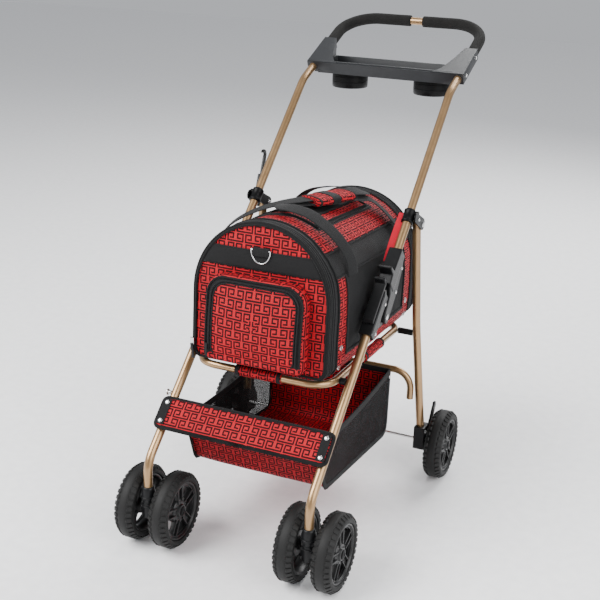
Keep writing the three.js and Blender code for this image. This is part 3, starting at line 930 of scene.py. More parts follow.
# ---------------------------------------------------------------- repeated details
class Repeater:
    """A Geometry Nodes tree that sets a small template at every point of a mesh, turned by its angles."""

    tree: bpy.types.NodeTree | None = None
    TURN = "turn"

    @classmethod
    def build(cls) -> bpy.types.NodeTree:
        """Make the tree, the first time it is wanted."""
        if cls.tree:
            return cls.tree
        tree = bpy.data.node_groups.new("set_at_points", "GeometryNodeTree")
        face = tree.interface
        face.new_socket("Geometry", in_out="OUTPUT", socket_type="NodeSocketGeometry")
        for name, kind in (("Geometry", "Geometry"), ("Template", "Object"), ("Finish", "Material"),
                           ("Jitter", "Float"), ("Seed", "Int")):
            face.new_socket(name, in_out="INPUT", socket_type=f"NodeSocket{kind}")
        new, join_up = tree.nodes.new, tree.links.new
        given, done = new("NodeGroupInput"), new("NodeGroupOutput")
        template, turn = new("GeometryNodeObjectInfo"), new("GeometryNodeInputNamedAttribute")
        turn.data_type = "FLOAT_VECTOR"
        turn.inputs["Name"].default_value = cls.TURN
        wobble = new("FunctionNodeRandomValue")
        wobble.data_type = "FLOAT"
        lower = new("ShaderNodeMath")
        lower.operation = "MULTIPLY"
        lower.inputs[1].default_value = -1.0
        ranges = [s for s in wobble.inputs if s.enabled and s.name in ("Min", "Max")]
        size = new("ShaderNodeMath")
        size.inputs[1].default_value = 1.0
        put, real = new("GeometryNodeInstanceOnPoints"), new("GeometryNodeRealizeInstances")
        paint = new("GeometryNodeSetMaterial")
        join_up(given.outputs["Jitter"], lower.inputs[0])
        join_up(lower.outputs[0], ranges[0])
        join_up(given.outputs["Jitter"], ranges[1])
        join_up(given.outputs["Seed"], wobble.inputs["Seed"])
        join_up(next(s for s in wobble.outputs if s.enabled), size.inputs[0])
        join_up(given.outputs["Template"], template.inputs["Object"])
        join_up(given.outputs["Geometry"], put.inputs["Points"])
        join_up(template.outputs["Geometry"], put.inputs["Instance"])
        join_up(next(s for s in turn.outputs if s.enabled), put.inputs["Rotation"])
        join_up(size.outputs[0], put.inputs["Scale"])
        join_up(put.outputs[0], real.inputs[0])
        join_up(real.outputs[0], paint.inputs["Geometry"])
        join_up(given.outputs["Finish"], paint.inputs["Material"])
        join_up(paint.outputs[0], done.inputs[0])
        cls.tree = tree
        return tree

    @classmethod
    def spread(
        cls, name: str, places: Sequence[tuple[Vector, Matrix]], template: Shape, finish: Finish,
        jitter: float = 0.0, seed: int = 3,
    ) -> bpy.types.Object:
        """Set a template at many places.

        Args:
            name: The object's name.
            places: Each copy's place and its turn.
            template: The shape that is repeated, about its own origin.
            finish: What the copies are finished in.
            jitter: How far the copies' sizes differ, as a share.
            seed: The seed of those differences.

        Returns:
            One object that holds every copy.
        """
        mesh = bpy.data.meshes.new(name)
        mesh.from_pydata([p for p, _ in places], [], [])
        turn = mesh.attributes.new(cls.TURN, "FLOAT_VECTOR", "POINT")
        turn.data.foreach_set("vector", [angle for _, m in places for angle in m.to_euler()])
        obj = link(bpy.data.objects.new(name, mesh))
        pattern = template.object(f"{name}_template", angle=50.0)
        modifier = obj.modifiers.new("set at points", "NODES")
        modifier.node_group = cls.build()
        values = {"Template": pattern, "Finish": finish.material(), "Jitter": jitter, "Seed": seed}
        for item in modifier.node_group.interface.items_tree:
            if getattr(item, "in_out", "") == "INPUT" and item.name in values:
                modifier[item.identifier] = values[item.name]
        apply_modifiers(obj)
        bpy.data.objects.remove(pattern)
        if cls.TURN in obj.data.attributes:
            obj.data.attributes.remove(obj.data.attributes[cls.TURN])
        return obj


def basis(ahead: Point, up: Point) -> Matrix:
    """The turn whose x runs ahead and whose z points up."""
    x = Vector(ahead).normalized()
    z = Vector(up)
    z = (z - x * z.dot(x)).normalized()
    return Matrix((x, z.cross(x), z)).transposed()


def stitches(
    name: str, lines: Sequence[tuple[Sequence[Vector], Callable[[int, Vector], Vector]]], finish: Finish,
    pitch: float = 0.0055, length: float = 0.0036, thick: float = 0.0005,
) -> bpy.types.Object:
    """Rows of thread laid on a surface.

    Args:
        name: The object's name.
        lines: Each row's path, and a function of a point's index and place that gives the outward direction.
        finish: The thread's finish.
        pitch: The distance from stitch to stitch.
        length: A stitch's length.
        thick: Its half thickness.

    Returns:
        One object that holds every stitch.
    """
    places = []
    for path, outward in lines:
        even = resample(path, pitch)
        for i in range(1, len(even) - 1):
            ahead = even[i + 1] - even[i - 1]
            if ahead.length > 1e-6:
                places.append((even[i], basis(ahead, outward(i, even[i]))))
    one = Shape()
    tip = thick * 0.25
    profile = [(-length / 2, tip), (-length / 4, thick), (length / 4, thick), (length / 2, tip)]
    lathe(one, profile, Vector(), (1, 0, 0), finish, 5)
    return Repeater.spread(name, places, one, finish, 0.12)


# ---------------------------------------------------------------- the folding frame
@dataclass
class FrontFrame:
    """The front legs with their swivel sockets, the lower halves of the fold joint and the storage stud."""

    body: str = "front_frame"
    bend: float = 0.06
    top: float = 0.476

    def build(self) -> None:
        """Build both sides."""
        for side in Side:
            self.leg(side)
            self.socket(side)
            self.joint_half(side)
        refined("hook_stud", "storage_stud", STEEL, self.body, 0.0012)

    def leg(self, side: Side) -> None:
        """The bent tube of one leg."""
        x = LEG_X * side.value
        foot, bend, top = at(x, 0, 0.114), at(x, 0, LEG_BEND_Z), on_slope(self.top, 0, x)
        path = arc_path([(foot, 0), (bend, self.bend), (top, 0)])
        shape = Shape()
        sweep(shape, path, oval(TUBE_R, TUBE_R, 28), GOLD, (0, -1, 0))
        obj = shape.object(f"front_tube_{side.word}")
        place_all(obj, self.body, f"front_leg_{side.word}", slot=GOLD.slot)

    def socket(self, side: Side) -> None:
        """The swivel socket under one leg, with a collar above it."""
        x = LEG_X * side.value
        collar = Shape()
        profile = [(0.0, 0.0150), (0.0, 0.0158), (0.009, 0.0150), (0.017, 0.0128), (0.0215, 0.0118),
                   (0.022, 0.0101)]
        lathe(collar, profile, at(x, 0, 0.1255), (0, 0, 1), PLASTIC, 40)
        node, name = f"caster_socket_{side.word}", f"swivel_socket_{side.word}"
        refined(node, name, PLASTIC, self.body, 0.0012, collar)

    def joint_half(self, side: Side) -> None:
        """The lower half of one fold joint, with its rivets and a raised line."""
        face = side.value * 0.1971
        extra = Shape()
        for s, n in ((0.4585, -0.0110), (0.386, -0.0105)):
            rivet(extra, on_slope(s, n, face), (side.value, 0, 0), 0.0042)
        line = [on_slope(s, n, face) for s, n in ((0.378, 0.0085), (0.472, 0.0085), (0.474, 0.004))]
        sweep(extra, line, oval(0.0009, 0.0007, 8), PLASTIC, (side.value, 0, 0), 0.0008)
        node, name = f"latch_socket_{side.word}", f"joint_lower_{side.word}"
        refined(node, name, PLASTIC, self.body, 0.002, extra, melt=14)


@dataclass
class Release:
    """One side's sliding release in front of the fold joint."""

    side: Side

    def build(self) -> None:
        """Build the slide with finger ridges on its flange."""
        extra = Shape()
        x = LEG_X * self.side.value
        for k in range(5):
            n = 0.0245 + 0.0024 * k
            ends = [on_slope(0.4917, n, x + dx) for dx in (-0.0095, 0.0095)]
            sweep(extra, ends, oval(0.0007, 0.0007, 8), PLASTIC, (0, 0, 1), 0.0006)
        body = f"latch_lever_{self.side.word}"
        refined(body, f"release_slide_{self.side.word}", PLASTIC, body, 0.0042, extra, melt=8)


@dataclass
class Handle:
    """The handle bar with its grips, the upper halves of the fold joint, the leg clips and the tray."""

    body: str = "handle"
    grip_start: float = 0.190
    corner: float = 0.085
    bare: float = 0.018
    grip_radius: float = 0.0145
    clamp_y: float = 0.505
    tie_length: float = 0.125
    tie_width: float = 0.017

    def build(self) -> None:
        """Build every piece."""
        self.bar()
        for side in Side:
            self.grip(side)
            self.joint_half(side)
            self.clip(side)
        self.tie()
        ParentTray(self.body).build()

    def tie(self) -> None:
        """The red webbing strap that lies along the inner side of the right tube, over the fold joint."""
        low, high = on_slope(0.560, -0.008, HANDLE_X), HANDLE_BEND
        ahead = (high - low).normalized()
        inner = Vector((-1, 0, 0))
        facing = ahead.cross(inner).normalized()
        path = []
        for k in range(17):
            bow = 0.0155 + 0.0016 * math.sin(math.pi * k / 16)
            path.append(low + ahead * (self.tie_length * k / 16) + inner * bow)
        shape = Shape()
        ribbon(shape, path, [facing] * len(path), self.tie_width, 0.0016, PLAIN_RED)
        obj = shape.object("handle_tie", angle=50)
        place_all(obj, self.body, slot=PLAIN_RED.slot)

    def bar(self) -> None:
        """The bent tube, round from side to side."""
        half = [
            (on_slope(0.508, -0.008, HANDLE_X), 0.0), (HANDLE_BEND.copy(), 0.09),
            (on_handle_top(HANDLE_TOP_LENGTH), self.corner),
        ]
        other = [(Vector((-p.x, p.y, p.z)), radius) for p, radius in reversed(half)]
        shape = Shape()
        sweep(shape, arc_path([*half, *other], math.radians(5)), oval(TUBE_R, TUBE_R, 28), GOLD, (0, -1, 0))
        place_all(shape.object("handle_bar"), self.body, "handle_tube", slot=GOLD.slot)

    def grip(self, side: Side) -> None:
        """The foam round one corner, with a rolled edge at each end and a faint unevenness."""
        start, top = on_handle_top(self.grip_start), on_handle_top(HANDLE_TOP_LENGTH)
        end = Vector((self.bare, top.y, top.z))
        path = arc_path([(start, 0), (top, self.corner), (end, 0)], math.radians(5))
        path = resample([Vector((p.x * side.value, p.y, p.z)) for p in path], 0.006)

        def uneven(t: float) -> float:
            """The foam's size along the grip."""
            return 1.0 + 0.012 * noise.noise(Vector((t * 9.0, side.value * 3.0, 0.5)))

        shape = Shape()
        round_section = oval(self.grip_radius - 0.0006, self.grip_radius - 0.0006, 32)
        sweep(shape, path, round_section, FOAM, (0, -1, 0), 0.0028, uneven)
        name = f"grip_{side.word}"
        place_all(shape.object(f"foam_{name}"), self.body, name, slot=FOAM.slot)

    def joint_half(self, side: Side) -> None:
        """The upper half of one fold joint."""
        face = side.value * 0.1991
        extra = Shape()
        for s, n, radius in ((0.445, -0.042, 0.0068), (0.509, -0.045, 0.0042), (0.563, -0.034, 0.0042)):
            rivet(extra, on_slope(s, n, face), (side.value, 0, 0), radius)
            rivet(extra, on_slope(s, n, side.value * 0.1709), (-side.value, 0, 0), radius)
        border = ((0.580, -0.029), (0.568, -0.0405), (0.520, -0.0535), (0.468, -0.0575), (0.446, -0.0557))
        line = [on_slope(s, n, face) for s, n in border]
        sweep(extra, line, oval(0.0008, 0.0007, 8), PLASTIC, (side.value, 0, 0), 0.0008)
        node, name = f"latch_arm_{side.word}", f"joint_upper_{side.word}"
        refined(node, name, PLASTIC, self.body, 0.003, extra, melt=14)

    def clip(self, side: Side) -> None:
        """The glossy clamp that holds the top of one rear leg between two round ears."""
        sign = side.value
        low, high = on_slope(0.508, -0.008), HANDLE_BEND
        share = (STEM_Y + self.clamp_y - low.y) / (high.y - low.y)
        middle = Vector((HANDLE_X * sign, STEM_Y + self.clamp_y, low.z + (high.z - low.z) * share))
        ahead = Vector((0, high.y - low.y, high.z - low.z)).normalized()
        shape = Shape()
        band = [(-0.0165, 0.0096), (-0.0165, 0.0118), (-0.0150, 0.0134), (-0.0110, 0.0136), (-0.0100, 0.0129),
                (0.0100, 0.0129), (0.0110, 0.0136), (0.0150, 0.0134), (0.0165, 0.0118), (0.0165, 0.0096)]
        lathe(shape, band, middle, ahead, GLOSS, 48)
        pivot = REAR_PIVOT.copy()
        outline = self.ear(middle, pivot)
        centre = (middle + pivot) / 2
        soft = 0.0008
        for near, far in ((0.1762, 0.1792), (0.2022, 0.2052)):
            rings = []
            for x, inset in ((near, soft), (near + soft, 0.0), (far - soft, 0.0), (far, soft)):
                drawn_in = [p + (centre - p).normalized() * inset for p in outline]
                rings.append([Vector((x * sign, p.y, p.z)) for p in drawn_in])
            shape.grid(rings, GLOSS, loop=True)
            shape.cap(rings[0], GLOSS, flip=True)
            shape.cap(rings[-1], GLOSS)
        bridge = [Vector((x * sign, middle.y + 0.010, middle.z + 0.002)) for x in (0.1765, 0.2048)]
        sweep(shape, bridge, oval(0.0075, 0.0095, 24, 3.0), GLOSS, (0, 0, 1))
        pin = [Vector((x * sign, pivot.y, pivot.z)) for x in (0.1740, 0.2056)]
        sweep(shape, pin, oval(0.0052, 0.0052, 24), STEEL, (0, 0, 1), 0.0008)
        if side is Side.LEFT:
            post = [Vector((-x, pivot.y, pivot.z)) for x in (0.2050, 0.2155)]
            sweep(shape, post, oval(0.0049, 0.0049, 24), GLOSS, (0, 0, 1))
        else:
            rivet(shape, Vector((0.2056, pivot.y, pivot.z)), (1, 0, 0), 0.0070)
        rivet(shape, Vector((0.2056 * sign, middle.y + 0.016, middle.z - 0.008)), (sign, 0, 0), 0.0036)
        obj = shape.object(f"leg_clamp_{side.word}", angle=45)
        place_all(obj, self.body, f"clip_{side.word}", slot=GLOSS.slot)

    @staticmethod
    def ear(start: Vector, end: Vector, small: float = 0.0110, large: float = 0.0132) -> list[Vector]:
        """The outline of a plate that runs from one round end to a larger one."""
        ahead = Vector((0, end.y - start.y, end.z - start.z))
        heading = math.atan2(ahead.z, ahead.y)
        outline = []
        quarter = math.pi / 2
        for centre, radius, first in ((start, small, heading + quarter), (end, large, heading - quarter)):
            for k in range(13):
                angle = first + math.pi * k / 12
                y, z = centre.y + radius * math.cos(angle), centre.z + radius * math.sin(angle)
                outline.append(Vector((0, y, z)))
        return outline


@dataclass
class ParentTray:
    """The tray between the handle tubes, with two glossy cup wells."""

    body: str
    cup_x: float = 0.107
    cup_y: float = 0.873
    cup_r: float = 0.0405
    wing: tuple[float, float] = (0.066, 0.187)
    wing_x: tuple[float, float] = (0.118, 0.1695)
    wing_outer: float = 0.2002
    rim_z: float = 0.9275

    def build(self) -> None:
        """Build the tray with its wings, then its wells."""
        refined("parent_tray", "parent_tray_shell", TRAY, self.body, 0.0022, self.details())
        self.wings()
        for side in Side:
            shape = Shape()
            r, foot = self.cup_r, at(self.cup_x * side.value, self.cup_y, 0.862)
            profile = [
                (0.0036, 2e-5), (0.0036, r - 0.006), (0.0046, r - 0.0025), (0.008, r - 0.001), (0.0405, r),
                (0.0415, r + 0.0006), (0.0425, r + 0.0022), (0.0425, r + 0.0042), (0.0413, r + 0.0048),
            ]
            lathe(shape, profile, foot, (0, 0, 1), GLOSS, 48)
            outer = [(-0.0008, 2e-5), (-0.0008, 0.0385), (0.0002, 0.0425), (0.0030, 0.0446), (0.0140, 0.0449),
                     (0.0145, 0.0443), (0.0155, 0.0443), (0.0160, 0.0449), (0.0270, 0.0449), (0.0275, 0.0443),
                     (0.0285, 0.0443), (0.0290, 0.0450), (0.0358, 0.0450), (0.0358, 0.0441)]
            lathe(shape, outer, foot, (0, 0, 1), GLOSS, 56)
            place_all(shape.object(f"cup_liner_{side.word}", angle=50), self.body, slot=GLOSS.slot)

    def wing_point(self, share: float, x: float) -> Vector:
        """A point of the wings' top, from the front rim at 0 up along the tubes to the grips at 1."""
        start, end = self.wing
        return on_handle_top(start + (end - start) * share, 0.0130, x)

    def wing_edge(self, share: float) -> float:
        """How far from the middle the wings' hollow inner edge lies."""
        inner, outer = self.wing_x
        return inner + (outer - inner) * math.sqrt(share)

    def wings(self) -> None:
        """The smooth front face and the wings that rise from it along both tubes."""
        front = Shape()
        shoulder = self.wing_x[0]
        across = steps(-self.wing_outer, -shoulder, shoulder, self.wing_outer, size=0.008)
        rows = []
        for k in range(7):
            t = k / 6
            rows.append([])
            for x in across:
                end = smooth((abs(x) - shoulder) / (self.wing_outer - shoulder))
                foot = at(x, 0.8172, 0.8985).lerp(on_handle_top(self.wing[0], -0.0130, x), end)
                rows[-1].append(foot.lerp(self.wing_point(0.0, x), t))
        front.grid(rows, TRAY)
        obj = front.object("parent_tray_face", angle=50)
        top = Shape()
        for side in Side:
            shares = [(k / 14) ** 1.6 for k in range(15)]
            sheet, skirt = [], []
            for share in shares:
                inner = self.wing_edge(share)
                edge = self.wing_point(share, inner * side.value)
                sheet.append([self.wing_point(share, (inner + (self.wing_outer - inner) * k / 6) * side.value)
                              for k in range(7)])
                low = Vector((edge.x, edge.y, min(edge.z, self.rim_z)))
                skirt.append([edge.lerp(low, k / 4) for k in range(5)])
            top.grid(sheet, TRAY)
            top.grid(skirt, TRAY)
        obj = join(obj, top.object("wings", angle=70))
        thicken(obj, 0.0026, inwards=False, angle=40)
        place_all(obj, self.body, slot=TRAY.slot)

    def details(self) -> Shape:
        """Ribs on the tray's front and a bolt through each bracket."""
        shape = Shape()
        for z in (0.9045, 0.9225):
            run = [at(x, 0.8178, z) for x in (-0.150, 0.150)]
            sweep(shape, run, oval(0.0011, 0.0009, 8), TRAY, (0, -1, 0), 0.001)
        for side in Side:
            for t in (0.085, 0.168):
                bolt(shape, on_handle_top(t, -0.0005, 0.2001 * side.value), (side.value, 0, 0), 0.0042)
        return shape


@dataclass
class StorageHook:
    """The lever that keeps the folded stroller shut."""

    body: str = "storage_hook"

    def build(self) -> None:
        """Build the lever and the bolt it turns on."""
        extra = Shape()
        bolt(extra, Vector((-0.2126, REAR_PIVOT.y, REAR_PIVOT.z)), (-1, 0, 0), 0.0072)
        refined("storage_hook", "storage_lever", PLASTIC, self.body, 0.0012, extra)


@dataclass
class SeatFrame:
    """The bent loop that carries the bag, with cloth sleeves and spacers."""

    body: str = "seat_frame"
    rail_x: float = 0.152
    front: float = 0.145
    rear: float = 0.600

    def build(self) -> None:
        """Build the loop, its sleeves and its spacers."""
        wide, front, rear = self.rail_x, self.front, self.rear
        corners = [(0.0, rear), (wide, rear), (wide, front), (-wide, front), (-wide, rear), (0.0, rear)]
        path = arc_path([(on_seat(x, y), 0.05) for x, y in corners])
        shape = Shape()
        sweep(shape, path, oval(LIGHT_TUBE_R, LIGHT_TUBE_R, 24), GOLD)
        place_all(shape.object("seat_tube"), self.body, "seat_loop", slot=GOLD.slot)
        self.sleeve("seat_sleeve_front", on_seat(-0.052, self.front), on_seat(0.052, self.front))
        for side in Side:
            x = self.rail_x * side.value
            self.sleeve(f"seat_sleeve_{side.word}", on_seat(x, 0.345), on_seat(x, 0.455))
            for place in ("front", "rear"):
                name = f"seat_spacer_{place}_{side.word}"
                refined(name, f"{name}_bush", PLASTIC, self.body, 0.0012)

    def sleeve(self, node: str, start: Vector, end: Vector) -> None:
        """A cloth tube sewn round the rail, bound in black at both ends.

        Args:
            node: The node of the frame it stands in for.
            start: Where it starts.
            end: Where it ends.
        """
        path = resample([start, end], 0.003)
        shape = Shape()
        sweep(shape, path, oval(0.0112, 0.0116, 28), FRET, (0, 0, 1), 0.0006,
              lambda t: 1.0 + 0.03 * noise.noise(Vector((t * 14.0, end.x * 20, 0.3))))
        ahead = (end - start).normalized()
        for point, way in ((start, 1), (end, -1)):
            band = [point + ahead * way * 0.0005, point + ahead * way * 0.009]
            sweep(shape, band, oval(0.0119, 0.0121, 28), TAPE, (0, 0, 1), 0.0007)
        place_all(shape.object(f"{node}_cloth", merge=1e-6), self.body, node, slot=FRET.slot)


@dataclass
class RearLegs:
    """The rear legs with their hubs, the bar that holds the basket and the brake rod."""

    body: str = "rear_legs"

    def build(self) -> None:
        """Build both legs and what joins them."""
        for side in Side:
            x = side.value
            path = arc_path([(at(0.190 * x, 0.553, 0.640), 0), (at(0.206 * x, 0.552, 0.385), 0.9),
                             (at(0.235 * x, 0.556, 0.088), 0)], math.radians(1.5))
            shape = Shape()
            sweep(shape, path, oval(TUBE_R, TUBE_R, 28), GOLD, (0, -1, 0))
            obj = shape.object(f"rear_tube_{side.word}")
            place_all(obj, self.body, f"rear_leg_{side.word}", slot=GOLD.slot)
            self.hub(side)
            brake = f"brake_{side.word}"
            refined(brake, f"{brake}_pedal", PLASTIC, brake, 0.0012, self.pedal_ridges(side))
        self.cross_bars()

    def hub(self, side: Side) -> None:
        """The moulded foot of one leg."""
        extra = Shape()
        for y, z in ((0.547, 0.121), (0.585, 0.080)):
            bolt(extra, at(0.2459 * side.value, y, z), (side.value, 0, 0), 0.0045)
        refined(f"rear_hub_{side.word}", f"rear_foot_{side.word}", PLASTIC, self.body, 0.0028, extra, 4)

    def pedal_ridges(self, side: Side) -> Shape:
        """The ridges that a shoe presses on."""
        shape = Shape()
        for k in range(4):
            ends = [at(x * side.value, 0.590 + 0.0035 * k, 0.1785) for x in (0.2475, 0.2515)]
            sweep(shape, ends, oval(0.0008, 0.0008, 8), PLASTIC, (0, 0, 1), 0.0004)
        return shape

    def cross_bars(self) -> None:
        """The basket's bar and the brake rod."""
        corners = [(0.202, 0.198), (0.202, 0.265), (-0.202, 0.265), (-0.202, 0.198)]
        path = arc_path([(at(x, 0.550, z), 0.042) for x, z in corners])
        shape = Shape()
        sweep(shape, path, oval(LIGHT_TUBE_R, LIGHT_TUBE_R, 24), GOLD, (0, -1, 0))
        place_all(shape.object("basket_hoop"), self.body, "basket_bar", slot=GOLD.slot)
        rod = Shape()
        sweep(rod, [at(x, 0.548, 0.099) for x in (-0.2205, 0.2205)], oval(0.0035, 0.0035, 20), STEEL)
        place_all(rod.object("brake_rod"), self.body, "rear_rod", slot=STEEL.slot)


# ---------------------------------------------------------------- wheels
@dataclass
class Wheel:
    """A moulded five-spoke wheel with a treaded foam-rubber tyre."""

    prefix: str
    name: str
    outward: int
    spokes: int = 5
    lugs: int = 38
    half: float = 0.022
    rim_r: float = 0.062
    centre: Vector = field(init=False)
    body: str = field(init=False)

    def build(self) -> None:
        """Build the tyre with its lugs, then the rim."""
        low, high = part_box(f"{self.prefix}_tyre_{self.name}")
        self.centre = (low + high) / 2
        self.body = f"{self.prefix}_wheel_{self.name}"
        self.tyre()
        self.rim()

    def tyre(self) -> None:
        """The tyre's rounded body, and lugs along both shoulders."""
        r, h = WHEEL_R - 0.0007, self.half - 0.0004
        half = [(h - 0.0045, 0.0625), (h - 0.0010, 0.0642), (h - 0.0004, 0.0680), (h - 0.0014, 0.0722),
                (h - 0.0040, 0.0757), (h - 0.0080, 0.0784), (h - 0.0125, 0.0802), (h - 0.0145, r - 0.0004),
                (h - 0.0185, r)]
        profile = [(-t, radius) for t, radius in half] + [(t, radius) for t, radius in reversed(half)]
        shape = Shape()
        lathe(shape, profile, self.centre, (1, 0, 0), TYRE, 96, closed=True)
        tyre = shape.object(f"{self.prefix}_tyre_{self.name}_rubber", angle=50)
        lug = Shape()
        sweep(lug, [Vector((x, 0, 0)) for x in (-0.0042, -0.0034, 0.0034, 0.0042)],
              [(-0.0062, -0.0020), (0.0062, -0.0020), (0.0054, 0.0012), (-0.0054, 0.0012)], TYRE,
              scale=lambda t: 0.86 if t in (0.0, 1.0) else 1.0)
        places = []
        for k in range(self.lugs):
            for sign in (-1, 1):
                angle = TAU * (k + 0.25 * sign) / self.lugs
                spoke = Vector((0, math.cos(angle), math.sin(angle)))
                out = (spoke * 0.80 + Vector((sign * 0.60, 0, 0))).normalized()
                point = self.centre + spoke * 0.0778 + Vector((sign * (self.half - 0.0062), 0, 0))
                places.append((point, basis(Vector((0, -spoke.z, spoke.y)), out)))
        lugs = Repeater.spread("lugs", places, lug, TYRE)
        obj = join(tyre, lugs)
        place_all(obj, self.body, f"{self.prefix}_tyre_{self.name}", slot=TYRE.slot)

    def rim(self) -> None:
        """The rim's barrel, its spokes with raised edges, and its hub with a cap."""
        shape = Shape()
        h, r = 0.0185, self.rim_r
        barrel = [(-h, r), (-h, r - 0.003), (-h + 0.002, r - 0.0045), (-0.004, r - 0.0085),
                  (0.004, r - 0.0085), (h - 0.002, r - 0.0045), (h, r - 0.003), (h, r)]
        lathe(shape, barrel, self.centre, (1, 0, 0), WHEEL, 72, closed=True)
        hub = [(-0.0185, 2e-5), (-0.0185, 0.011), (-0.0165, 0.0135), (-0.0060, 0.0145), (-0.0050, 0.0265),
               (0.0105, 0.0285), (0.0128, 0.0270), (0.0136, 0.0150), (0.0175, 0.0135), (0.0185, 0.011),
               (0.0185, 2e-5)]
        lathe(shape, hub, self.centre, (self.outward, 0, 0), WHEEL, 48)
        for step in (0.0035, 0.0075):
            ring = [(h - step, r - step * 0.5 - 0.004), (h - step, r - step * 0.5 - 0.0062),
                    (h - step - 0.002, r - step * 0.5 - 0.0062), (h - step - 0.002, r - step * 0.5 - 0.004)]
            lathe(shape, ring, self.centre, (self.outward, 0, 0), WHEEL, 72, closed=True)
        face = self.outward * 0.0105
        for k in range(self.spokes):
            angle = TAU * k / self.spokes + 0.35
            ahead = Vector((0, math.cos(angle), math.sin(angle)))
            across = Vector((0, -ahead.z, ahead.y))
            middle = self.centre + Vector((face * 0.6, 0, 0))
            inner, outer = middle + ahead * 0.020, middle + ahead * (r - 0.0065)
            web = resample([inner, outer], 0.006)
            sweep(shape, web, oval(0.0095, 0.0042, 20, 5.0), WHEEL, (1, 0, 0), 0.0,
                  lambda t: 1.18 - 0.45 * math.sin(math.pi * min(1.0, t * 1.15)))
            for way in (-1, 1):
                path = resample([inner + across * 0.0074 * way, outer + across * 0.0088 * way], 0.006)
                path = [p + Vector((face * 0.42, 0, 0)) for p in path]
                sweep(shape, path, oval(0.0017, 0.0055, 16, 4.0), WHEEL, (1, 0, 0))
            rivet(shape, self.centre + ahead * 0.0195 + Vector((self.outward * 0.0126, 0, 0)),
                  (self.outward, 0, 0), 0.0032, WHEEL)
        cap = [(0.0180, 0.0105), (0.0200, 0.0100), (0.0212, 0.0075), (0.0214, 0.0045), (0.0205, 0.0040),
               (0.0205, 2e-5)]
        lathe(shape, cap, self.centre, (self.outward, 0, 0), GLOSS, 36)
        obj = shape.object(f"{self.prefix}_rim_{self.name}_star", angle=38)
        place_all(obj, self.body, f"{self.prefix}_rim_{self.name}", slot=WHEEL.slot)


@dataclass
class Casters:
    """The twin-wheel swivel units and the rear wheels."""

    def build(self) -> None:
        """Build the forks, the axles and all six wheels."""
        for side in Side:
            body = f"caster_{side.word}"
            extra = Shape()
            x = LEG_X * side.value
            ring = [(0.0, 0.0155), (0.0, 0.0172), (0.003, 0.0172), (0.004, 0.0155)]
            lathe(extra, ring, at(x, 0, 0.1035), (0, 0, 1), PLASTIC, 36)
            refined(f"caster_fork_{side.word}", f"swivel_fork_{side.word}", PLASTIC, body, 0.002, extra)
            refined(f"front_axle_{side.word}", f"front_spindle_{side.word}", STEEL, body, 0.0008)
            Wheel("front", f"{side.word}_outer", side.value).build()
            Wheel("front", f"{side.word}_inner", -side.value).build()
            Wheel("rear", side.word, side.value).build()


# ---------------------------------------------------------------- the bag
def bag_chart(point: Vector) -> tuple[float, float]:
    """Cloth coordinates on an upright panel of the bag."""
    up = in_bag(0, 0, 1) - in_bag(0, 0, 0)
    return point.x, (point - BAG_ORIGIN).dot(up)


HATCH_EDGE = 0.3245
HATCH_ENDS = (0.111, 0.399)


@dataclass
class BagForm:
    """The bag's rounded outline and the way it swells along its length."""

    half: float = 0.156
    spring: float = 0.150
    height: float = 0.306
    length: float = 0.535
    drop: float = 0.06
    quarter: float = 0.2455

    def sides(self, a: float) -> float:
        """Half the bag's width at a distance back from its front."""
        return self.half - 0.006 * (1 - smooth(a / 0.07)) - 0.003 * smooth((a - 0.46) / 0.07)

    def top(self, a: float) -> float:
        """The roof's height at a distance back from the front."""
        return self.height * (1 - self.drop * a / self.length)

    @property
    def girth(self) -> float:
        """The distance from one bottom edge over the roof to the other."""
        return 2 * (self.spring + self.quarter)

    def edge(self, length: float, a: float, out: float = 0.0) -> tuple[float, float]:
        """A point of the cross-section.

        Args:
            length: The distance round from the right bottom edge.
            a: The distance back from the front.
            out: How far outside the surface the point lies.

        Returns:
            Its x and its height.
        """
        sign = 1
        if length > self.girth / 2:
            length, sign = self.girth - length, -1
        half, top = self.sides(a) + out, self.top(a) + out
        if length < self.spring:
            tuck = 0.010 * (1 - smooth(length / 0.02))
            return sign * (half - tuck), length * (1 - self.drop * a / self.length)
        theta = (length - self.spring) / self.quarter * math.pi / 2
        spring = self.spring * (1 - self.drop * a / self.length)
        return sign * half * math.cos(theta), spring + (top - spring) * math.sin(theta)

    def point(self, length: float, a: float, out: float = 0.0) -> Vector:
        """A point of the surface, with its slight swelling and unevenness."""
        lower = min(length, self.girth - length)
        swell = 0.0045 * math.sin(math.pi * min(1.0, lower / self.spring)) if lower < self.spring else 0.0
        swell *= math.sin(math.pi * min(1.0, max(0.0, a / self.length)))
        crease = 0.0016 * noise.noise(Vector((length * 22, a * 17, 4.2))) + 0.0008 * noise.noise(
            Vector((length * 70, a * 45, 1.1)))
        calm = smooth(a / 0.03) * smooth((self.length - a) / 0.03)
        x, h = self.edge(length, a, out + swell + crease * calm)
        return in_bag(x, a, h)

    def outward(self, length: float, a: float) -> Vector:
        """The outward direction at a point of the surface."""
        inner, outer = self.edge(length, a), self.edge(length, a, 0.01)
        return (in_bag(outer[0], a, outer[1]) - in_bag(inner[0], a, inner[1])).normalized()

    def inside(self, x: float, h: float, inset: float) -> bool:
        """Whether a place on the front lies inside the outline, set in by a distance."""
        half, top = self.sides(0.0) - inset, self.height - inset
        if h < self.spring:
            return abs(x) < half and h > inset
        return (x / half) ** 2 + ((h - self.spring) / (top - self.spring)) ** 2 < 1


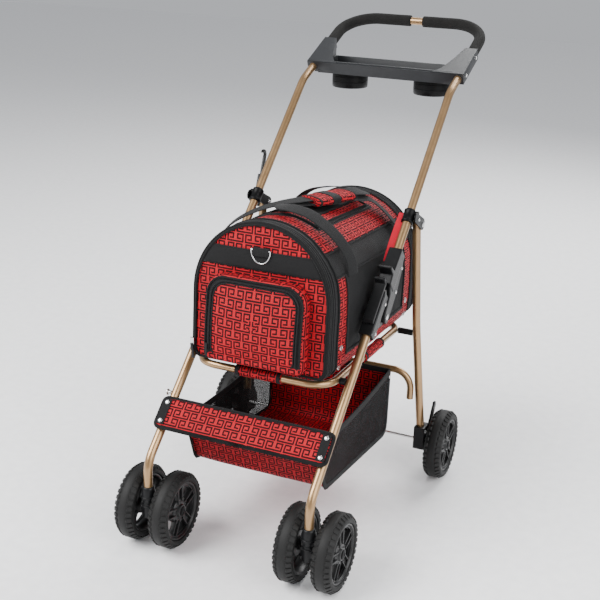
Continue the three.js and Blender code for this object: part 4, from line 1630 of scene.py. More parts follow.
@dataclass
class Bag:
    """The bag's body: its sewn skin with windows and belt, its floor and its rear panel."""

    form: BagForm = field(default_factory=BagForm)
    body: str = "carrier"
    belt: tuple[float, float] = (0.206, 0.259)
    window: tuple[float, float] = (0.085, 0.440)
    sill: float = 0.040
    hatch: tuple[float, float] = HATCH_ENDS
    hatch_edge: float = HATCH_EDGE
    hatch_tape: float = 0.013
    gusset: float = 0.042
    rear_gusset: float = 0.495
    skin_thickness: float = 0.003

    def build(self) -> None:
        """Build the skin, then what is sewn on it."""
        self.skin()
        self.rear_panel()
        self.trim()
        self.rails()
        self.hardware()
        self.seams()

    def zone(self, length: float, a: float) -> Finish | None:
        """What the skin is made of at a place, or None in the hatch."""
        side = min(length, self.form.girth - length)
        if side > self.hatch_edge and self.hatch[0] < a < self.hatch[1]:
            return None
        if a < self.gusset or a > self.rear_gusset:
            return ZIP_TAPE
        if self.belt[0] < side < self.belt[1]:
            return TAPE
        tape = self.hatch_tape
        if side > self.hatch_edge - tape and self.hatch[0] - tape < a < self.hatch[1] + tape:
            return ZIP_TAPE
        if self.sill < side < self.belt[0] and self.window[0] < a < self.window[1]:
            return WINDOW_NET
        return FRET

    def skin(self) -> None:
        """The skin from the front opening to the rear, with its floor, 3 mm thick."""
        tape = self.hatch_tape
        half = [0.0, 0.008, self.sill, *self.belt, self.hatch_edge - tape, self.hatch_edge]
        girth = self.form.girth
        rounds = steps(*half, girth / 2, *[girth - v for v in reversed(half)], size=0.009)
        front, rear = self.hatch
        backs = steps(0.003, self.gusset, self.window[0], front - tape, front, rear, rear + tape,
                      self.window[1], self.rear_gusset, 0.532, size=0.010)
        shape = Shape()
        rows = [[self.form.point(length, a) for a in backs] for length in rounds]
        shape.grid(rows, FRET)
        kept = []
        for index, (face, corners) in enumerate(zip(shape.faces, shape.corners)):
            i, j = divmod(index, len(backs) - 1)
            finish = self.zone((rounds[i] + rounds[i + 1]) / 2, (backs[j] + backs[j + 1]) / 2)
            if finish:
                kept.append((face, corners, finish))
        shape.faces, shape.corners, shape.finishes = (list(column) for column in zip(*kept))
        floor = [[in_bag(x, a, 0.0012 * math.sin(a * 12)) for a in backs]
                 for x in steps(-self.form.sides(0.2) + 0.010, self.form.sides(0.2) - 0.010, size=0.02)]
        for row, edge in ((floor[0], rows[-1]), (floor[-1], rows[0])):
            for place, target in zip(row, edge):
                place.x, place.z, place.y = target.x, target.z, target.y
        shape.grid(floor, TAPE, flip=True)
        obj = shape.object("bag_skin", merge=2e-4, angle=60)
        face_along(obj, obj.data.polygons[0].center - in_bag(0, 0.25, 0.14))
        thicken(obj, self.skin_thickness)
        place_all(obj, self.body, "carrier_shell", slot=FRET.slot)
        board = Shape()
        box(board, (-0.140, 0.010, 0.0065), (0.140, 0.520, 0.0100), TAPE)
        board.points = [in_bag(*p) for p in board.points]
        base = board.object("bag_base_board")
        soft = base.modifiers.new("soft edges", "BEVEL")
        soft.width, soft.segments = 0.0015, 3
        apply_modifiers(base)
        smooth_by_angle(base.data)
        place_all(base, self.body, "carrier_base", slot=TAPE.slot)

    def rear_panel(self) -> None:
        """The domed panel that closes the rear."""
        shape = Shape()
        form = self.form
        count = 96
        rows = []
        for t in (1.0, 0.97, 0.9, 0.8, 0.65, 0.5, 0.35, 0.2, 0.08):
            row = []
            for k in range(count + 1):
                x, h = form.edge(form.girth * k / count, 0.531, -0.0015)
                x, h = x * t, 0.14 + (h - 0.14) * t
                row.append(in_bag(x, 0.531 + 0.007 * (1 - t ** 2), h))
            low = [row[-1].lerp(row[0], i / 24) for i in range(1, 24)]
            rows.append(row + low)
        shape.grid(rows, FRET, loop=True)
        shape.chart(bag_chart)
        shape.cap(rows[-1], FRET)
        obj = shape.object("bag_rear_panel", angle=60)
        face_along(obj, (0, 1, 0), middle=True)
        thicken(obj, self.skin_thickness)
        place_all(obj, self.body, slot=FRET.slot)

    def round_path(self, a: float, out: float, start: float = 0.004) -> list[Vector]:
        """A path over the bag at one distance back, from one bottom edge to the other."""
        return [self.form.point(v, a, out) for v in steps(start, self.form.girth - start, size=0.008)]

    def along(self, length: float, start: float, end: float, out: float = 0.0008) -> list[Vector]:
        """A path along the bag at one distance round."""
        return [self.form.point(length, a, out) for a in steps(start, end, size=0.010)]

    def trim(self) -> None:
        """Piping, the zip's ridges, the window's binding and the raised belt."""
        shape = Shape()
        form, up = self.form, (1, 0, 0)
        rounds = ((0.0030, 0.0030), (self.gusset, 0.0026), (self.rear_gusset, 0.0026), (0.5315, 0.0030))
        for a, radius in rounds:
            sweep(shape, self.round_path(a, 0.0006), oval(radius, radius, 10), PIPING, up, 0.001)
        for a in (0.0125, 0.0205, 0.0285, 0.506, 0.515, 0.523):
            sweep(shape, self.round_path(a, 0.0002), oval(0.0030, 0.0016, 10), ZIP_TAPE, up, 0.001)
        for side in Side:
            def place(length: float) -> float:
                """A distance round from this side's bottom edge."""
                return length if side is Side.RIGHT else form.girth - length

            low, high = self.sill, self.belt[0]
            front, rear = self.window
            for edge, start, end in ((low, front, rear), (high, self.gusset, self.rear_gusset),
                                     (self.belt[1], self.gusset, self.rear_gusset)):
                thick = 0.0022 if edge == low else 0.0012
                run = self.along(place(edge), start, end)
                sweep(shape, run, oval(thick * 1.6, thick, 10), PIPING, up, 0.001)
            for a in (front, rear):
                run = [form.point(place(v), a, 0.0008) for v in steps(low, high, size=0.008)]
                sweep(shape, run, oval(0.0034, 0.0022, 10), PIPING, up, 0.001)
        obj = shape.object("bag_piping", angle=50)
        place_all(obj, self.body, slot=PIPING.slot)

    def rails(self) -> None:
        """The hatch's zip and its teeth."""
        shape = Shape()
        girth = self.form.girth
        edge, (front, rear) = self.hatch_edge - 0.006, self.hatch
        loop = [self.form.point(edge, a, 0.0012) for a in reversed(steps(front, rear, size=0.010))]
        for v in steps(edge, girth - edge, size=0.008):
            loop.append(self.form.point(v, front - 0.006, 0.0012))
        for a in steps(front, rear, size=0.010):
            loop.append(self.form.point(girth - edge, a, 0.0012))
        sweep(shape, loop, oval(0.0030, 0.0013, 10), ZIP_TAPE, (1, 0, 0), 0.001)
        tooth = Shape()
        box(tooth, (-0.0007, -0.0022, -0.0005), (0.0007, 0.0022, 0.0009), ZIP_TAPE)
        middle = in_bag(0, 0.25, 0.1)
        even = resample(loop, 0.0032)
        places = [(here, basis(after - before, here - middle))
                  for before, here, after in zip(even, even[1:], even[2:])]
        obj = join(shape.object("hatch_zip"), Repeater.spread("teeth", places, tooth, PLASTIC))
        place_all(obj, self.body, slot=ZIP_TAPE.slot)

    def hardware(self) -> None:
        """Grommets low on both sides."""
        shape = Shape()
        ring = [(-0.0006, 0.0034), (0.0009, 0.0036), (0.0014, 0.0046), (0.0009, 0.0058), (-0.0006, 0.0062)]
        for side in Side:
            for length, a in ((0.056, 0.062), (0.014, 0.060), (0.014, 0.470), (0.050, 0.468)):
                v = length if side is Side.RIGHT else self.form.girth - length
                place, outward = self.form.point(v, a, 0.0002), self.form.outward(v, a)
                lathe(shape, ring, place, outward, STEEL, 20, closed=True)
        place_all(shape.object("bag_grommets"), self.body, slot=STEEL.slot)

    def seams(self) -> None:
        """Rows of stitching beside every seam."""
        lines = []
        form = self.form
        for a in (self.gusset + 0.006, self.rear_gusset - 0.006):
            path = self.round_path(a, 0.0004, 0.01)
            lines.append((path, lambda i, p: p - in_bag(0, 0.27, 0.14)))
        for side in Side:
            for length in (self.belt[0] + 0.004, self.belt[1] - 0.004, self.sill - 0.005):
                v = length if side is Side.RIGHT else form.girth - length
                path = self.along(v, self.gusset + 0.004, self.rear_gusset - 0.004, 0.0004)
                lines.append((path, lambda i, p, v=v: form.outward(v, 0.25)))
        obj = stitches("bag_stitching", lines, PIPING)
        place_all(obj, self.body, slot=PIPING.slot)


@dataclass
class FrontDoor:
    """The front panel with its belt and its padded pocket."""

    form: BagForm = field(default_factory=BagForm)
    body: str = "front_door"
    dome: float = 0.005
    inset: float = 0.0035
    centre_h: float = 0.14
    pocket_half: float = 0.1105
    pocket_low: float = 0.012
    pocket_high: float = 0.196
    zip_low: float = 0.030
    belt_h: float = 0.2300
    belt_half: float = 0.0205

    def depth(self, x: float, h: float) -> float:
        """How far the panel stands forward of its edge at a place."""
        reach = math.hypot(x, h - self.centre_h)
        if reach < 1e-6:
            return self.dome
        low, high = 1.0, 60.0
        for _ in range(24):
            middle = (low + high) / 2
            inside = self.form.inside(x * middle, self.centre_h + (h - self.centre_h) * middle, self.inset)
            low, high = (middle, high) if inside else (low, middle)
        return self.dome * (1 - (1 / low) ** 3)

    def on_panel(self, x: float, h: float, out: float = 0.0) -> Vector:
        """A point on the panel's face."""
        return in_bag(x, 0.0005 - self.depth(x, h) - out, h)

    def build(self) -> None:
        """Build the panel, its belt, the pocket and the zip pull."""
        self.panel()
        self.belt()
        self.pocket()
        self.pull()

    def outline(self, t: float, count: int = 112) -> list[tuple[float, float]]:
        """The panel's outline shrunk about its middle, counted round from the right bottom edge."""
        form = self.form
        ring = []
        for k in range(count + 1):
            x, h = form.edge(form.girth * k / count, 0.0, -self.inset)
            ring.append((x, max(h, self.inset)))
        start, end = ring[0], ring[-1]
        ring += [(end[0] + (start[0] - end[0]) * i / 28, self.inset) for i in range(1, 28)]
        return [(x * t, self.centre_h + (h - self.centre_h) * t) for x, h in ring]

    def panel(self) -> None:
        """The domed panel, quilted a little by its filling."""
        shape = Shape()
        rows = []
        for t in (1.0, 0.985, 0.96, 0.9, 0.8, 0.7, 0.6, 0.48, 0.35, 0.2, 0.08):
            row = []
            for x, h in self.outline(t):
                crease = 0.0010 * noise.noise(Vector((x * 30, h * 30, 9.0))) * (1 - t ** 4)
                row.append(in_bag(x, 0.0035 - self.dome * (1 - t ** 3) - crease, h))
            rows.append(row)
        shape.grid(rows, FRET, loop=True)
        shape.chart(bag_chart)
        shape.cap(rows[-1], FRET)
        obj = shape.object("door_panel", angle=60)
        face_along(obj, (0, -1, 0), middle=True)
        thicken(obj, 0.0028)
        edge = Shape()
        ring = [in_bag(x, 0.0018, h) for x, h in self.outline(1.0)]
        ring.append(ring[0])
        sweep(edge, ring, oval(0.0028, 0.0028, 10), PIPING, (0, -1, 0), caps=False)
        obj = join(obj, edge.object("edge", angle=50))
        place_all(obj, self.body, "front_door", slot=FRET.slot)

    def reach(self, h: float) -> float:
        """Half the panel's width at a height above the springing of its arch."""
        form = self.form
        return form.sides(0.0) * math.sqrt(1 - ((h - form.spring) / (form.height - form.spring)) ** 2) - 0.006

    def belt(self) -> None:
        """The webbing across the panel, with the tab that holds the ring."""
        band = Shape()
        h = self.belt_h
        rows = []
        for dh in steps(-self.belt_half, self.belt_half, size=0.006):
            reach = self.reach(h + dh)
            rows.append([self.on_panel(reach * t, h + dh, -0.0018) for t in steps(-1.0, 1.0, size=0.05)])
        band.grid(rows, TAPE)
        obj = band.object("door_belt", angle=50)
        thicken(obj, 0.0018, inwards=False, angle=None)
        tilt = in_bag(0, -1, 0) - in_bag(0, 0, 0)
        shape = Shape()
        tab = [self.on_panel(x, h + 0.0185, 0.0006) for x in steps(-0.0175, 0.0175, size=0.004)]
        ribbon(shape, tab, [tilt] * len(tab), 0.0180, 0.0062, TAPE)
        obj = join(obj, shape.object("belt_tab", angle=50))
        lines = []
        for dh in (-0.0185, 0.0185):
            reach = self.reach(h + dh) - 0.004
            run = [self.on_panel(x, h + dh, -0.0006) for x in steps(-reach, reach, size=0.01)]
            lines.append((run, lambda i, p: tilt))
        obj = join(obj, stitches("belt_threads", lines, PIPING))
        place_all(obj, self.body, slot=TAPE.slot)

    def fullness(self, h: float) -> float:
        """How far the pocket stands forward at a height."""
        return 0.0250 + 0.0080 * smooth((self.pocket_high - h) / 0.13)

    def pocket_ring(self, t: float, count: int = 96) -> list[tuple[float, float]]:
        """The pocket's outline: square at the bottom and well rounded at the top."""
        half, low, high = self.pocket_half * t, self.pocket_low, self.pocket_high
        middle = (low + high) / 2
        low, high = middle + (low - middle) * t, middle + (high - middle) * t
        corner, foot = 0.040 * t, 0.016 * t
        points = [(Vector((half, 0, low)), foot), (Vector((half, 0, high)), corner),
                  (Vector((-half, 0, high)), corner), (Vector((-half, 0, low)), foot)]
        start = (Vector((0, 0, low)), 0.0)
        rounded = arc_path([start, *points, start])
        loop = resample(rounded, along_path(rounded)[-1] / count)
        return [(p.x, p.z) for p in loop[:-1]]

    @staticmethod
    def pocket_chart(point: Vector) -> tuple[float, float]:
        """Cloth coordinates on the pocket's face, which stretch a little where it curves back."""
        u, v = bag_chart(point)
        return u, v + 0.4 * abs(point.y - BAG_ORIGIN.y)

    def pocket(self) -> None:
        """The padded pocket with the zip round its top and sides."""
        shape = Shape()
        profile = ((1.0, 0.0), (1.012, 0.35), (1.008, 0.70), (0.985, 0.90), (0.955, 0.97), (0.935, 0.965),
                   (0.905, 0.985), (0.860, 0.985), (0.835, 0.97), (0.80, 1.0), (0.70, 1.05), (0.55, 1.1),
                   (0.40, 1.13), (0.25, 1.15), (0.10, 1.16))
        rows = []
        for t, share in profile:
            row = []
            for x, h in self.pocket_ring(t):
                full = self.fullness(h)
                crease = 0.0012 * noise.noise(Vector((x * 26, h * 26, 2.0))) * smooth((1 - t) * 8)
                row.append(self.on_panel(x, h, -0.0036 + full * share + crease))
            rows.append(row)
        shape.grid(rows, FRET, loop=True)
        wall = 3 * len(rows[0])
        side_corners = shape.corners[:wall]
        shape.chart(self.pocket_chart)
        shape.corners[:wall] = side_corners
        for index, corners in enumerate(shape.faces):
            height = sum(bag_chart(shape.points[n])[1] for n in corners) / 4
            if 4 <= index // len(rows[0]) <= 7 and height > self.zip_low:
                shape.finishes[index] = ZIP_TAPE
        shape.cap(rows[-1], FRET)
        obj = shape.object("door_pocket", angle=60)
        face_along(obj, (0, -1, 0), middle=True)
        place_all(obj, self.body, "front_pocket", slot=FRET.slot)
        self.pocket_trim()

    def pocket_trim(self) -> None:
        """The pocket's piping, its zip and its pull."""
        shape = Shape()
        for t, radius, share in ((0.958, 0.0020, 1.0), (0.832, 0.0014, 1.0), (0.882, 0.0018, 1.02)):
            ring = []
            for x, h in self.pocket_ring(t, 160):
                full = self.fullness(h)
                ring.append((h, self.on_panel(x, h, -0.0034 + full * share)))
            start = next(i for i, (h, _) in enumerate(ring) if h > self.zip_low)
            turned = ring[start:] + ring[:start]
            run = [p for h, p in turned if h > 0.029]
            sweep(shape, run, oval(radius, radius, 8), PIPING if t > 0.9 else ZIP_TAPE, (0, -1, 0), 0.0008)
        pull_top = self.on_panel(-0.101, 0.050, self.fullness(0.050) - 0.001)
        path = [pull_top + Vector((0, -0.002, -k * 0.004)) for k in range(8)]
        ribbon(shape, path, [Vector((0, -1, 0))] * len(path), 0.0055, 0.002, PLASTIC)
        place_all(shape.object("pocket_trim", angle=50), self.body, slot=PIPING.slot)

    def pull(self) -> None:
        """The main zip's slider and its hanging pull at the lower left."""
        shape = Shape()
        top = in_bag(-0.151, -0.004, 0.036)
        slider = [top + Vector((0, 0, dz)) for dz in (0.006, 0.0, -0.008)]
        ribbon(shape, slider, [Vector((0, -1, 0))] * 3, 0.009, 0.0050, STEEL)
        path = [top + Vector((0.0005 * k, -0.003, -0.006 - k * 0.004)) for k in range(9)]
        ribbon(shape, path, [Vector((-0.2, -1, 0))] * len(path), 0.0075, 0.0032, PLASTIC)
        place_all(shape.object("door_zip_pull", angle=50), self.body, slot=PLASTIC.slot)


@dataclass
class LeashRing:
    """The D-shaped ring on the front panel."""

    body: str = "d_ring"

    def build(self) -> None:
        """Build the ring to the size of the frame's own."""
        low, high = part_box("d_ring")
        y, wide, top = (low.y + high.y) / 2, (high.x - low.x) / 2 - 0.0014, high.z - 0.0014
        bottom = low.z + 0.0014
        arc = []
        for k in range(25):
            angle = math.pi * k / 24
            arc.append(Vector((wide * math.cos(angle), y, top - (top - bottom) * math.sin(angle))))
        path = [*arc, arc[0]]
        shape = Shape()
        sweep(shape, arc, oval(0.0014, 0.0014, 12), STEEL, (0, -1, 0), 0.0005)
        sweep(shape, [path[-2], path[-1]], oval(0.0014, 0.0014, 12), STEEL, (0, -1, 0), 0.0005)
        place_all(shape.object("leash_ring"), self.body, "d_ring", slot=STEEL.slot)


@dataclass
class Hatch:
    """The flap in the roof, with a net window in a patterned border."""

    form: BagForm = field(default_factory=BagForm)
    body: str = "top_flap"
    edge: float = HATCH_EDGE
    ends: tuple[float, float] = HATCH_ENDS
    border: float = 0.026

    def build(self) -> None:
        """Build the flap and the binding of its window."""
        form = self.form
        rounds = steps(self.edge, self.edge + self.border, form.girth - self.edge - self.border,
                       form.girth - self.edge, size=0.007)
        front, rear = self.ends
        backs = steps(front, front + self.border, rear - self.border, rear, size=0.009)
        shape = Shape()
        rows = []
        for v in rounds:
            rows.append([])
            for a in backs:
                across = (v - self.edge) / (form.girth - 2 * self.edge)
                along = (a - front) / (rear - front)
                lift = 0.004 * math.sin(math.pi * across) * math.sin(math.pi * along)
                rows[-1].append(form.point(v, a, lift))
        shape.grid(rows, FRET)
        columns = len(backs) - 1
        for index in range(len(shape.faces)):
            i, j = divmod(index, columns)
            v, a = (rounds[i] + rounds[i + 1]) / 2, (backs[j] + backs[j + 1]) / 2
            if (self.edge + self.border < v < form.girth - self.edge - self.border
                    and front + self.border < a < rear - self.border):
                shape.finishes[index] = WINDOW_NET
        obj = shape.object("hatch_flap", angle=60)
        face_along(obj, (0, 0, 1))
        thicken(obj, 0.0026)
        trim = Shape()
        for inset, radius in ((0.0006, 0.0019), (self.border, 0.0021)):
            low, high = self.edge + inset, form.girth - self.edge - inset
            front, rear = self.ends[0] + inset, self.ends[1] - inset
            path = [form.point(low, a, 0.0012) for a in steps(front, rear, size=0.01)]
            path += [form.point(v, rear, 0.0012) for v in steps(low, high, size=0.008)][1:]
            path += [form.point(high, a, 0.0012) for a in reversed(steps(front, rear, size=0.01))][1:]
            path += [form.point(v, front, 0.0012) for v in reversed(steps(low, high, size=0.008))][1:]
            sweep(trim, path, oval(radius * 1.5, radius, 8), PIPING, (1, 0, 0), 0.0)
        obj = join(obj, trim.object("binding", angle=50))
        place_all(obj, self.body, "top_flap", slot=FRET.slot)


@dataclass
class CarryStraps:
    """Two webbing handles that meet in a padded wrap over the roof."""

    form: BagForm = field(default_factory=BagForm)
    body: str = "carrier"
    width: float = 0.036
    right: tuple[tuple[float, float, float], ...] = (
        (0.1560, 0.108, 0.200), (0.1510, 0.106, 0.228), (0.1390, 0.102, 0.252), (0.1180, 0.097, 0.278),
        (0.0850, 0.095, 0.302), (0.0550, 0.096, 0.316), (0.0200, 0.099, 0.321), (-0.0080, 0.112, 0.319),
        (-0.0180, 0.145, 0.315), (-0.0040, 0.182, 0.312), (0.0220, 0.212, 0.3135), (0.0420, 0.250, 0.3135),
        (0.0560, 0.290, 0.3125), (0.0640, 0.330, 0.308), (0.0800, 0.375, 0.300), (0.1020, 0.405, 0.277),
        (0.1330, 0.424, 0.240), (0.1510, 0.428, 0.215), (0.1560, 0.430, 0.195),
    )
    left: tuple[tuple[float, float, float], ...] = (
        (-0.1560, 0.108, 0.200), (-0.1510, 0.106, 0.228), (-0.1360, 0.104, 0.254), (-0.1080, 0.108, 0.280),
        (-0.0720, 0.125, 0.301), (-0.0350, 0.155, 0.314), (-0.0020, 0.190, 0.3195), (0.0200, 0.225, 0.3215),
        (0.0330, 0.262, 0.3215), (0.0450, 0.305, 0.3205), (0.0620, 0.350, 0.318), (0.0640, 0.385, 0.312),
        (0.0420, 0.411, 0.308), (0.0050, 0.420, 0.308), (-0.0400, 0.421, 0.303), (-0.0850, 0.422, 0.287),
        (-0.1280, 0.426, 0.245), (-0.1500, 0.429, 0.215), (-0.1560, 0.430, 0.195),
    )

    def build(self) -> None:
        """Build both straps and the wrap round them."""
        self.strap("carry_handle_right", "carry_strap_right", self.right)
        self.strap("carry_handle_left", "carry_strap_left", self.left)
        self.wrap()

    def strap(self, name: str, node: str, route: Sequence[tuple[float, float, float]]) -> None:
        """One handle, from its front base to its rear one.

        Args:
            name: The handle's name.
            node: The node of the frame it stands in for.
            route: Points of its middle line, as x, distance back and height.
        """
        path = self.curve([in_bag(*point) for point in route])
        axis = in_bag(0, 0.26, 0.12)
        normals = []
        for point in path:
            away = point - axis
            normals.append(Vector((away.x, 0.25 * away.y, away.z)).normalized())
        for _ in range(4):
            normals = [(normals[max(i - 1, 0)] + n + normals[min(i + 1, len(normals) - 1)]).normalized()
                       for i, n in enumerate(normals)]
        shape = Shape()
        ribbon(shape, path, normals, self.width, 0.0022, TAPE)
        obj = shape.object(name, angle=50)
        place_all(obj, self.body, node, slot=TAPE.slot)

    @staticmethod
    def curve(path: Sequence[Vector]) -> list[Vector]:
        """A smooth path through points, evenly spaced."""
        points = [path[0], *path, path[-1]]
        fine = []
        for p0, p1, p2, p3 in zip(points, points[1:], points[2:], points[3:]):
            for k in range(8):
                t = k / 8
                fine.append(0.5 * ((2 * p1) + (p2 - p0) * t + (2 * p0 - 5 * p1 + 4 * p2 - p3) * t * t
                                   + (3 * p1 - p0 - 3 * p2 + p3) * t ** 3))
        fine.append(path[-1])
        return resample(fine, 0.007)

    def wrap(self) -> None:
        """The padded wrap that holds both handles together, bound in black."""
        shape = Shape()
        ends = (Vector((0.0150, 0.203, 0.3165)), Vector((0.0520, 0.312, 0.3165)))
        count = 24
        path = [in_bag(*(ends[0].lerp(ends[1], k / count))) for k in range(count + 1)]
        section = oval(0.030, 0.0100, 36, 2.6)
        sweep(shape, path, section, FRET, (0, 0, 1), 0.003,
              lambda t: 1.0 + 0.05 * noise.noise(Vector((t * 7, 1.0, 2.0))) + 0.05 * math.sin(math.pi * t))
        padded = shape.object("handle_wrap", angle=60)
        band = Shape()
        sweep(band, path[8:14], oval(0.0322, 0.0118, 36, 2.6), TAPE, (0, 0, 1), 0.0012)
        for end in (path[:2], path[-2:]):
            sweep(band, end, oval(0.0312, 0.0110, 36, 2.6), PIPING, (0, 0, 1), 0.0012)
        place_all(padded, self.body, slot=FRET.slot)
        place_all(band.object("handle_wrap_bands", angle=50), self.body, slot=TAPE.slot)


# ---------------------------------------------------------------- the basket and the footrest
@dataclass
class Basket:
    """The cloth basket under the bag: a patterned sling with a net at each side."""

    body: str = "front_frame"
    half: float = 0.153
    profile: tuple[tuple[float, float], ...] = (
        (0.110, 0.262), (0.150, 0.150), (0.530, 0.106), (0.5365, 0.262),
    )
    keep: float = 0.1
    net_size: tuple[float, float] = (0.156, 0.427)
    rim_sag: float = 0.010

    def build(self) -> None:
        """Build the sling, both nets and the binding."""
        corners = [(at(0, y, z), 0.02) for y, z in self.profile]
        path = resample(arc_path(corners), 0.012)
        lengths = along_path(path)
        rows = []
        for point, length in zip(path, lengths):
            row = []
            for x in steps(-self.half, self.half, size=0.014):
                across = math.cos(math.pi / 2 * x / self.half)
                sag = 0.007 * across * math.sin(math.pi * length / lengths[-1]) ** 2
                crease = 0.0022 * noise.noise(Vector((x * 16, length * 13, 6.0)))
                row.append(point + Vector((x, 0, -sag + crease * across)))
            rows.append(row)
        shape = Shape()
        shape.grid(rows, FRET)
        sling = thicken(shape.object("basket_sling", angle=60), 0.0016, inwards=False)
        place_all(sling, self.body, "basket", slot=FRET.slot)
        self.fold(sling)
        for side in Side:
            self.net(side, path)
        self.binding(path)

    def fold(self, obj: bpy.types.Object) -> None:
        """Give a piece its own copy of its mesh."""
        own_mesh(obj)

    def net(self, side: Side, path: Sequence[Vector]) -> None:
        """The net that closes one side, slightly slack."""
        sign = side.value
        front, rear = self.profile[0], self.profile[-1]
        rows = []
        count = 14
        for k in range(count + 1):
            t = k / count
            row = []
            for point in path:
                share = (point.y - path[0].y) / (path[-1].y - path[0].y)
                top = at(0, front[0] + (rear[0] - front[0]) * share, front[1] + (rear[1] - front[1]) * share)
                top.z -= self.rim_sag * math.sin(math.pi * share)
                place = point.lerp(top, t)
                slack = 0.006 * math.sin(math.pi * t) * math.sin(math.pi * share)
                slack += 0.002 * noise.noise(Vector((place.y * 20, place.z * 20, sign)))
                place.x = sign * (self.half - slack * 0.8)
                row.append(place)
            rows.append(row)
        shape = Shape()
        shape.grid(rows, BASKET_NET)
        shape.chart(lambda p: (p.y, p.z))
        obj = thicken(shape.object(f"basket_net_{side.word}", merge=1e-4, angle=60), 0.0010, inwards=False)
        place_all(obj, self.body, slot=TAPE.slot)
        self.fold(obj)

    def binding(self, path: Sequence[Vector]) -> None:
        """The black binding of every edge, with snaps at the rear corners."""
        shape = Shape()
        for side in Side:
            x = self.half * side.value
            run = [p + Vector((x, 0, 0)) for p in path]
            ribbon(shape, run, [Vector((side.value, 0, 0))] * len(run), 0.0125, 0.0030, TAPE)
            top = [run[0].lerp(run[-1], k / 24) - Vector((0, 0, self.rim_sag * math.sin(math.pi * k / 24)))
                   for k in range(25)]
            ribbon(shape, top, [Vector((side.value, 0, 0))] * len(top), 0.0150, 0.0032, TAPE)
        for point, way in ((path[0], -1), (path[-1], 1)):
            run = [point + Vector((x, way * 0.0004, 0)) for x in steps(-self.half, self.half, size=0.02)]
            ribbon(shape, run, [Vector((0, way, 0))] * len(run), 0.0150, 0.0032, TAPE)
        for side in Side:
            for y, z in ((0.534, 0.250), (0.115, 0.250)):
                rivet(shape, at(side.value * (self.half + 0.0015), y, z), (side.value, 0, 0), 0.0045)
        obj = shape.object("basket_binding", angle=50)
        place_all(obj, self.body, slot=TAPE.slot)
        self.fold(obj)


@dataclass
class Footrest:
    """The padded board across the front legs, bound in black and snapped on at both ends."""

    body: str = "front_frame"
    half: float = 0.1925
    low: float = 0.0765
    high: float = 0.1415
    near: float = 0.0106
    thick: float = 0.0115

    def build(self) -> None:
        """Build the board and its trim."""
        middle, tall = (self.low + self.high) / 2, (self.high - self.low) / 2
        half_thick, centre = self.thick / 2, self.near + self.thick / 2
        section = []
        count = 56
        for k in range(count):
            c, s = math.cos(TAU * k / count), math.sin(TAU * k / count)
            section.append((math.copysign(abs(c) ** 0.42, c) * tall,
                            math.copysign(abs(s) ** 0.75, s) * half_thick))
        rings = []
        for x in steps(-self.half, self.half, size=0.008):
            end = 1 - 0.45 * smooth((abs(x) - self.half + 0.010) / 0.010)
            ring = []
            for s, n in section:
                puff = 0.0014 * noise.noise(Vector((x * 24, s * 24, 5.0))) if n > 0 else 0
                ring.append(on_slope(middle + s * (0.9 + 0.1 * end), centre + n * end + puff, x))
            rings.append(ring)
        shape = Shape()
        shape.grid(rings, FRET, loop=True)
        foot, ahead = on_slope(0, 0), on_slope(1, 0) - on_slope(0, 0)
        shape.chart(lambda p: (p.x, (p - foot).dot(ahead)))
        shape.cap(rings[0], FRET, flip=True)
        shape.cap(rings[-1], FRET)
        board = shape.object("footrest_board", angle=60)
        place_all(board, self.body, "footrest_panel", slot=FRET.slot)
        self.trim(middle, tall, centre)

    def trim(self, middle: float, tall: float, centre: float) -> None:
        """The binding, the end tabs and their snaps.

        Args:
            middle: The middle of the board along the slope.
            tall: Half its height.
            centre: The middle of its thickness.
        """
        shape = Shape()
        corners = [(self.half, -tall), (self.half, tall), (-self.half, tall), (-self.half, -tall)]
        points = [(on_slope(middle + s, centre, x), 0.010) for x, s in corners]
        start = (on_slope(middle - tall, centre, 0), 0.0)
        outward = on_slope(0, 1) - on_slope(0, 0)
        sweep(shape, arc_path([start, *points, start]), oval(0.0052, 0.0042, 12), PIPING, outward)
        for side in Side:
            x = side.value * 0.181
            front = centre + self.thick / 2 + 0.0012
            run = [on_slope(middle + s, front, x) for s in (-tall + 0.004, -0.01, 0.01, tall - 0.004)]
            ribbon(shape, run, [outward] * 4, 0.019, 0.0022, TAPE)
            for s in (-0.021, 0.021):
                rivet(shape, on_slope(middle + s, front + 0.0008, x), outward, 0.0052)
        place_all(shape.object("footrest_trim", angle=50), self.body, slot=PIPING.slot)


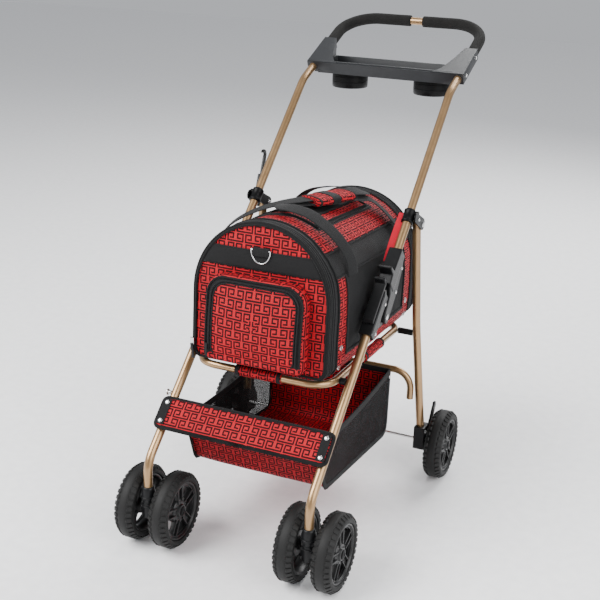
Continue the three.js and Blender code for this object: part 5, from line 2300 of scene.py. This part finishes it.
# ---------------------------------------------------------------- the setting
@dataclass
class Studio:
    """A pale floor, soft lights and the camera."""

    focal_mm: float = 65.164
    target: tuple[float, float, float] = (0.0, -0.16762, 0.47863)
    azimuth: float = 23.467
    elevation: float = 20.423
    roll: float = 1.518
    distance: float = 2.37999

    def build(self) -> None:
        """Set everything up."""
        self.floor()
        self.light("key_light", (-1.9, -2.2, 2.9), 2.4, 270.0)
        self.light("fill_light", (2.6, -1.2, 1.9), 2.6, 110.0)
        self.light("rear_light", (0.4, 2.4, 2.5), 2.2, 110.0)
        self.world()
        self.camera()

    def floor(self) -> None:
        """The floor, pale and barely rough."""
        shape = Shape()
        reach = 9.0
        rows = [[Vector((x, y, -0.0004)) for x in (-reach, 0, reach)] for y in (-reach, 0, reach)]
        floor = Moulded("pale_floor", "floor", shade(0.93, 0.93, 0.935), 0.6, 30.0, 0.00005)
        shape.grid(rows, floor)
        obj = shape.object("studio_floor")
        face_along(obj, (0, 0, 1))

    def light(self, name: str, place: Point, size: float, power: float) -> None:
        """A soft square light aimed at the stroller.

        Args:
            name: The light's name.
            place: Where it hangs.
            size: The length of its side.
            power: Its power in watts.
        """
        data = bpy.data.lights.new(name, "AREA")
        data.energy, data.size = power, size
        obj = link(bpy.data.objects.new(name, data))
        obj.location = place
        aim = Vector((0, -0.05, 0.45)) - obj.location
        obj.rotation_euler = aim.to_track_quat("-Z", "Y").to_euler()

    def world(self) -> None:
        """A pale, even sky."""
        world = bpy.data.worlds.new("pale_room")
        world.use_nodes = True
        sky = world.node_tree.nodes["Background"]
        sky.inputs["Color"].default_value = shade(0.97, 0.98, 1.0)
        sky.inputs["Strength"].default_value = 0.55
        bpy.context.scene.world = world

    def camera(self) -> None:
        """The camera."""
        data = bpy.data.cameras.new("camera")
        data.lens, data.sensor_width = self.focal_mm, 36.0
        obj = link(bpy.data.objects.new("camera", data))
        azimuth, elevation = math.radians(self.azimuth), math.radians(self.elevation)
        back = Vector((math.sin(azimuth) * math.cos(elevation), -math.cos(azimuth) * math.cos(elevation),
                       math.sin(elevation)))
        place = Vector(self.target) + back * self.distance
        turn = (-back).to_track_quat("-Z", "Y").to_matrix() @ Matrix.Rotation(math.radians(self.roll), 3, "Z")
        obj.matrix_world = Matrix.LocRotScale(place, turn, None)
        bpy.context.scene.camera = obj


def main() -> None:
    """Build the stroller, sub-assembly by sub-assembly, and then its setting."""
    logging.basicConfig(level=logging.INFO, format="%(name)s: %(message)s")
    assemblies = [FrontFrame(), Handle(), StorageHook(), SeatFrame(), RearLegs(), Casters()]
    assemblies += [Release(side) for side in Side]
    assemblies += [Bag(), FrontDoor(), LeashRing(), Hatch(), CarryStraps(), Basket(), Footrest()]
    for assembly in assemblies:
        assembly.build()
    Studio().build()


if __name__ == "__main__":
    main()
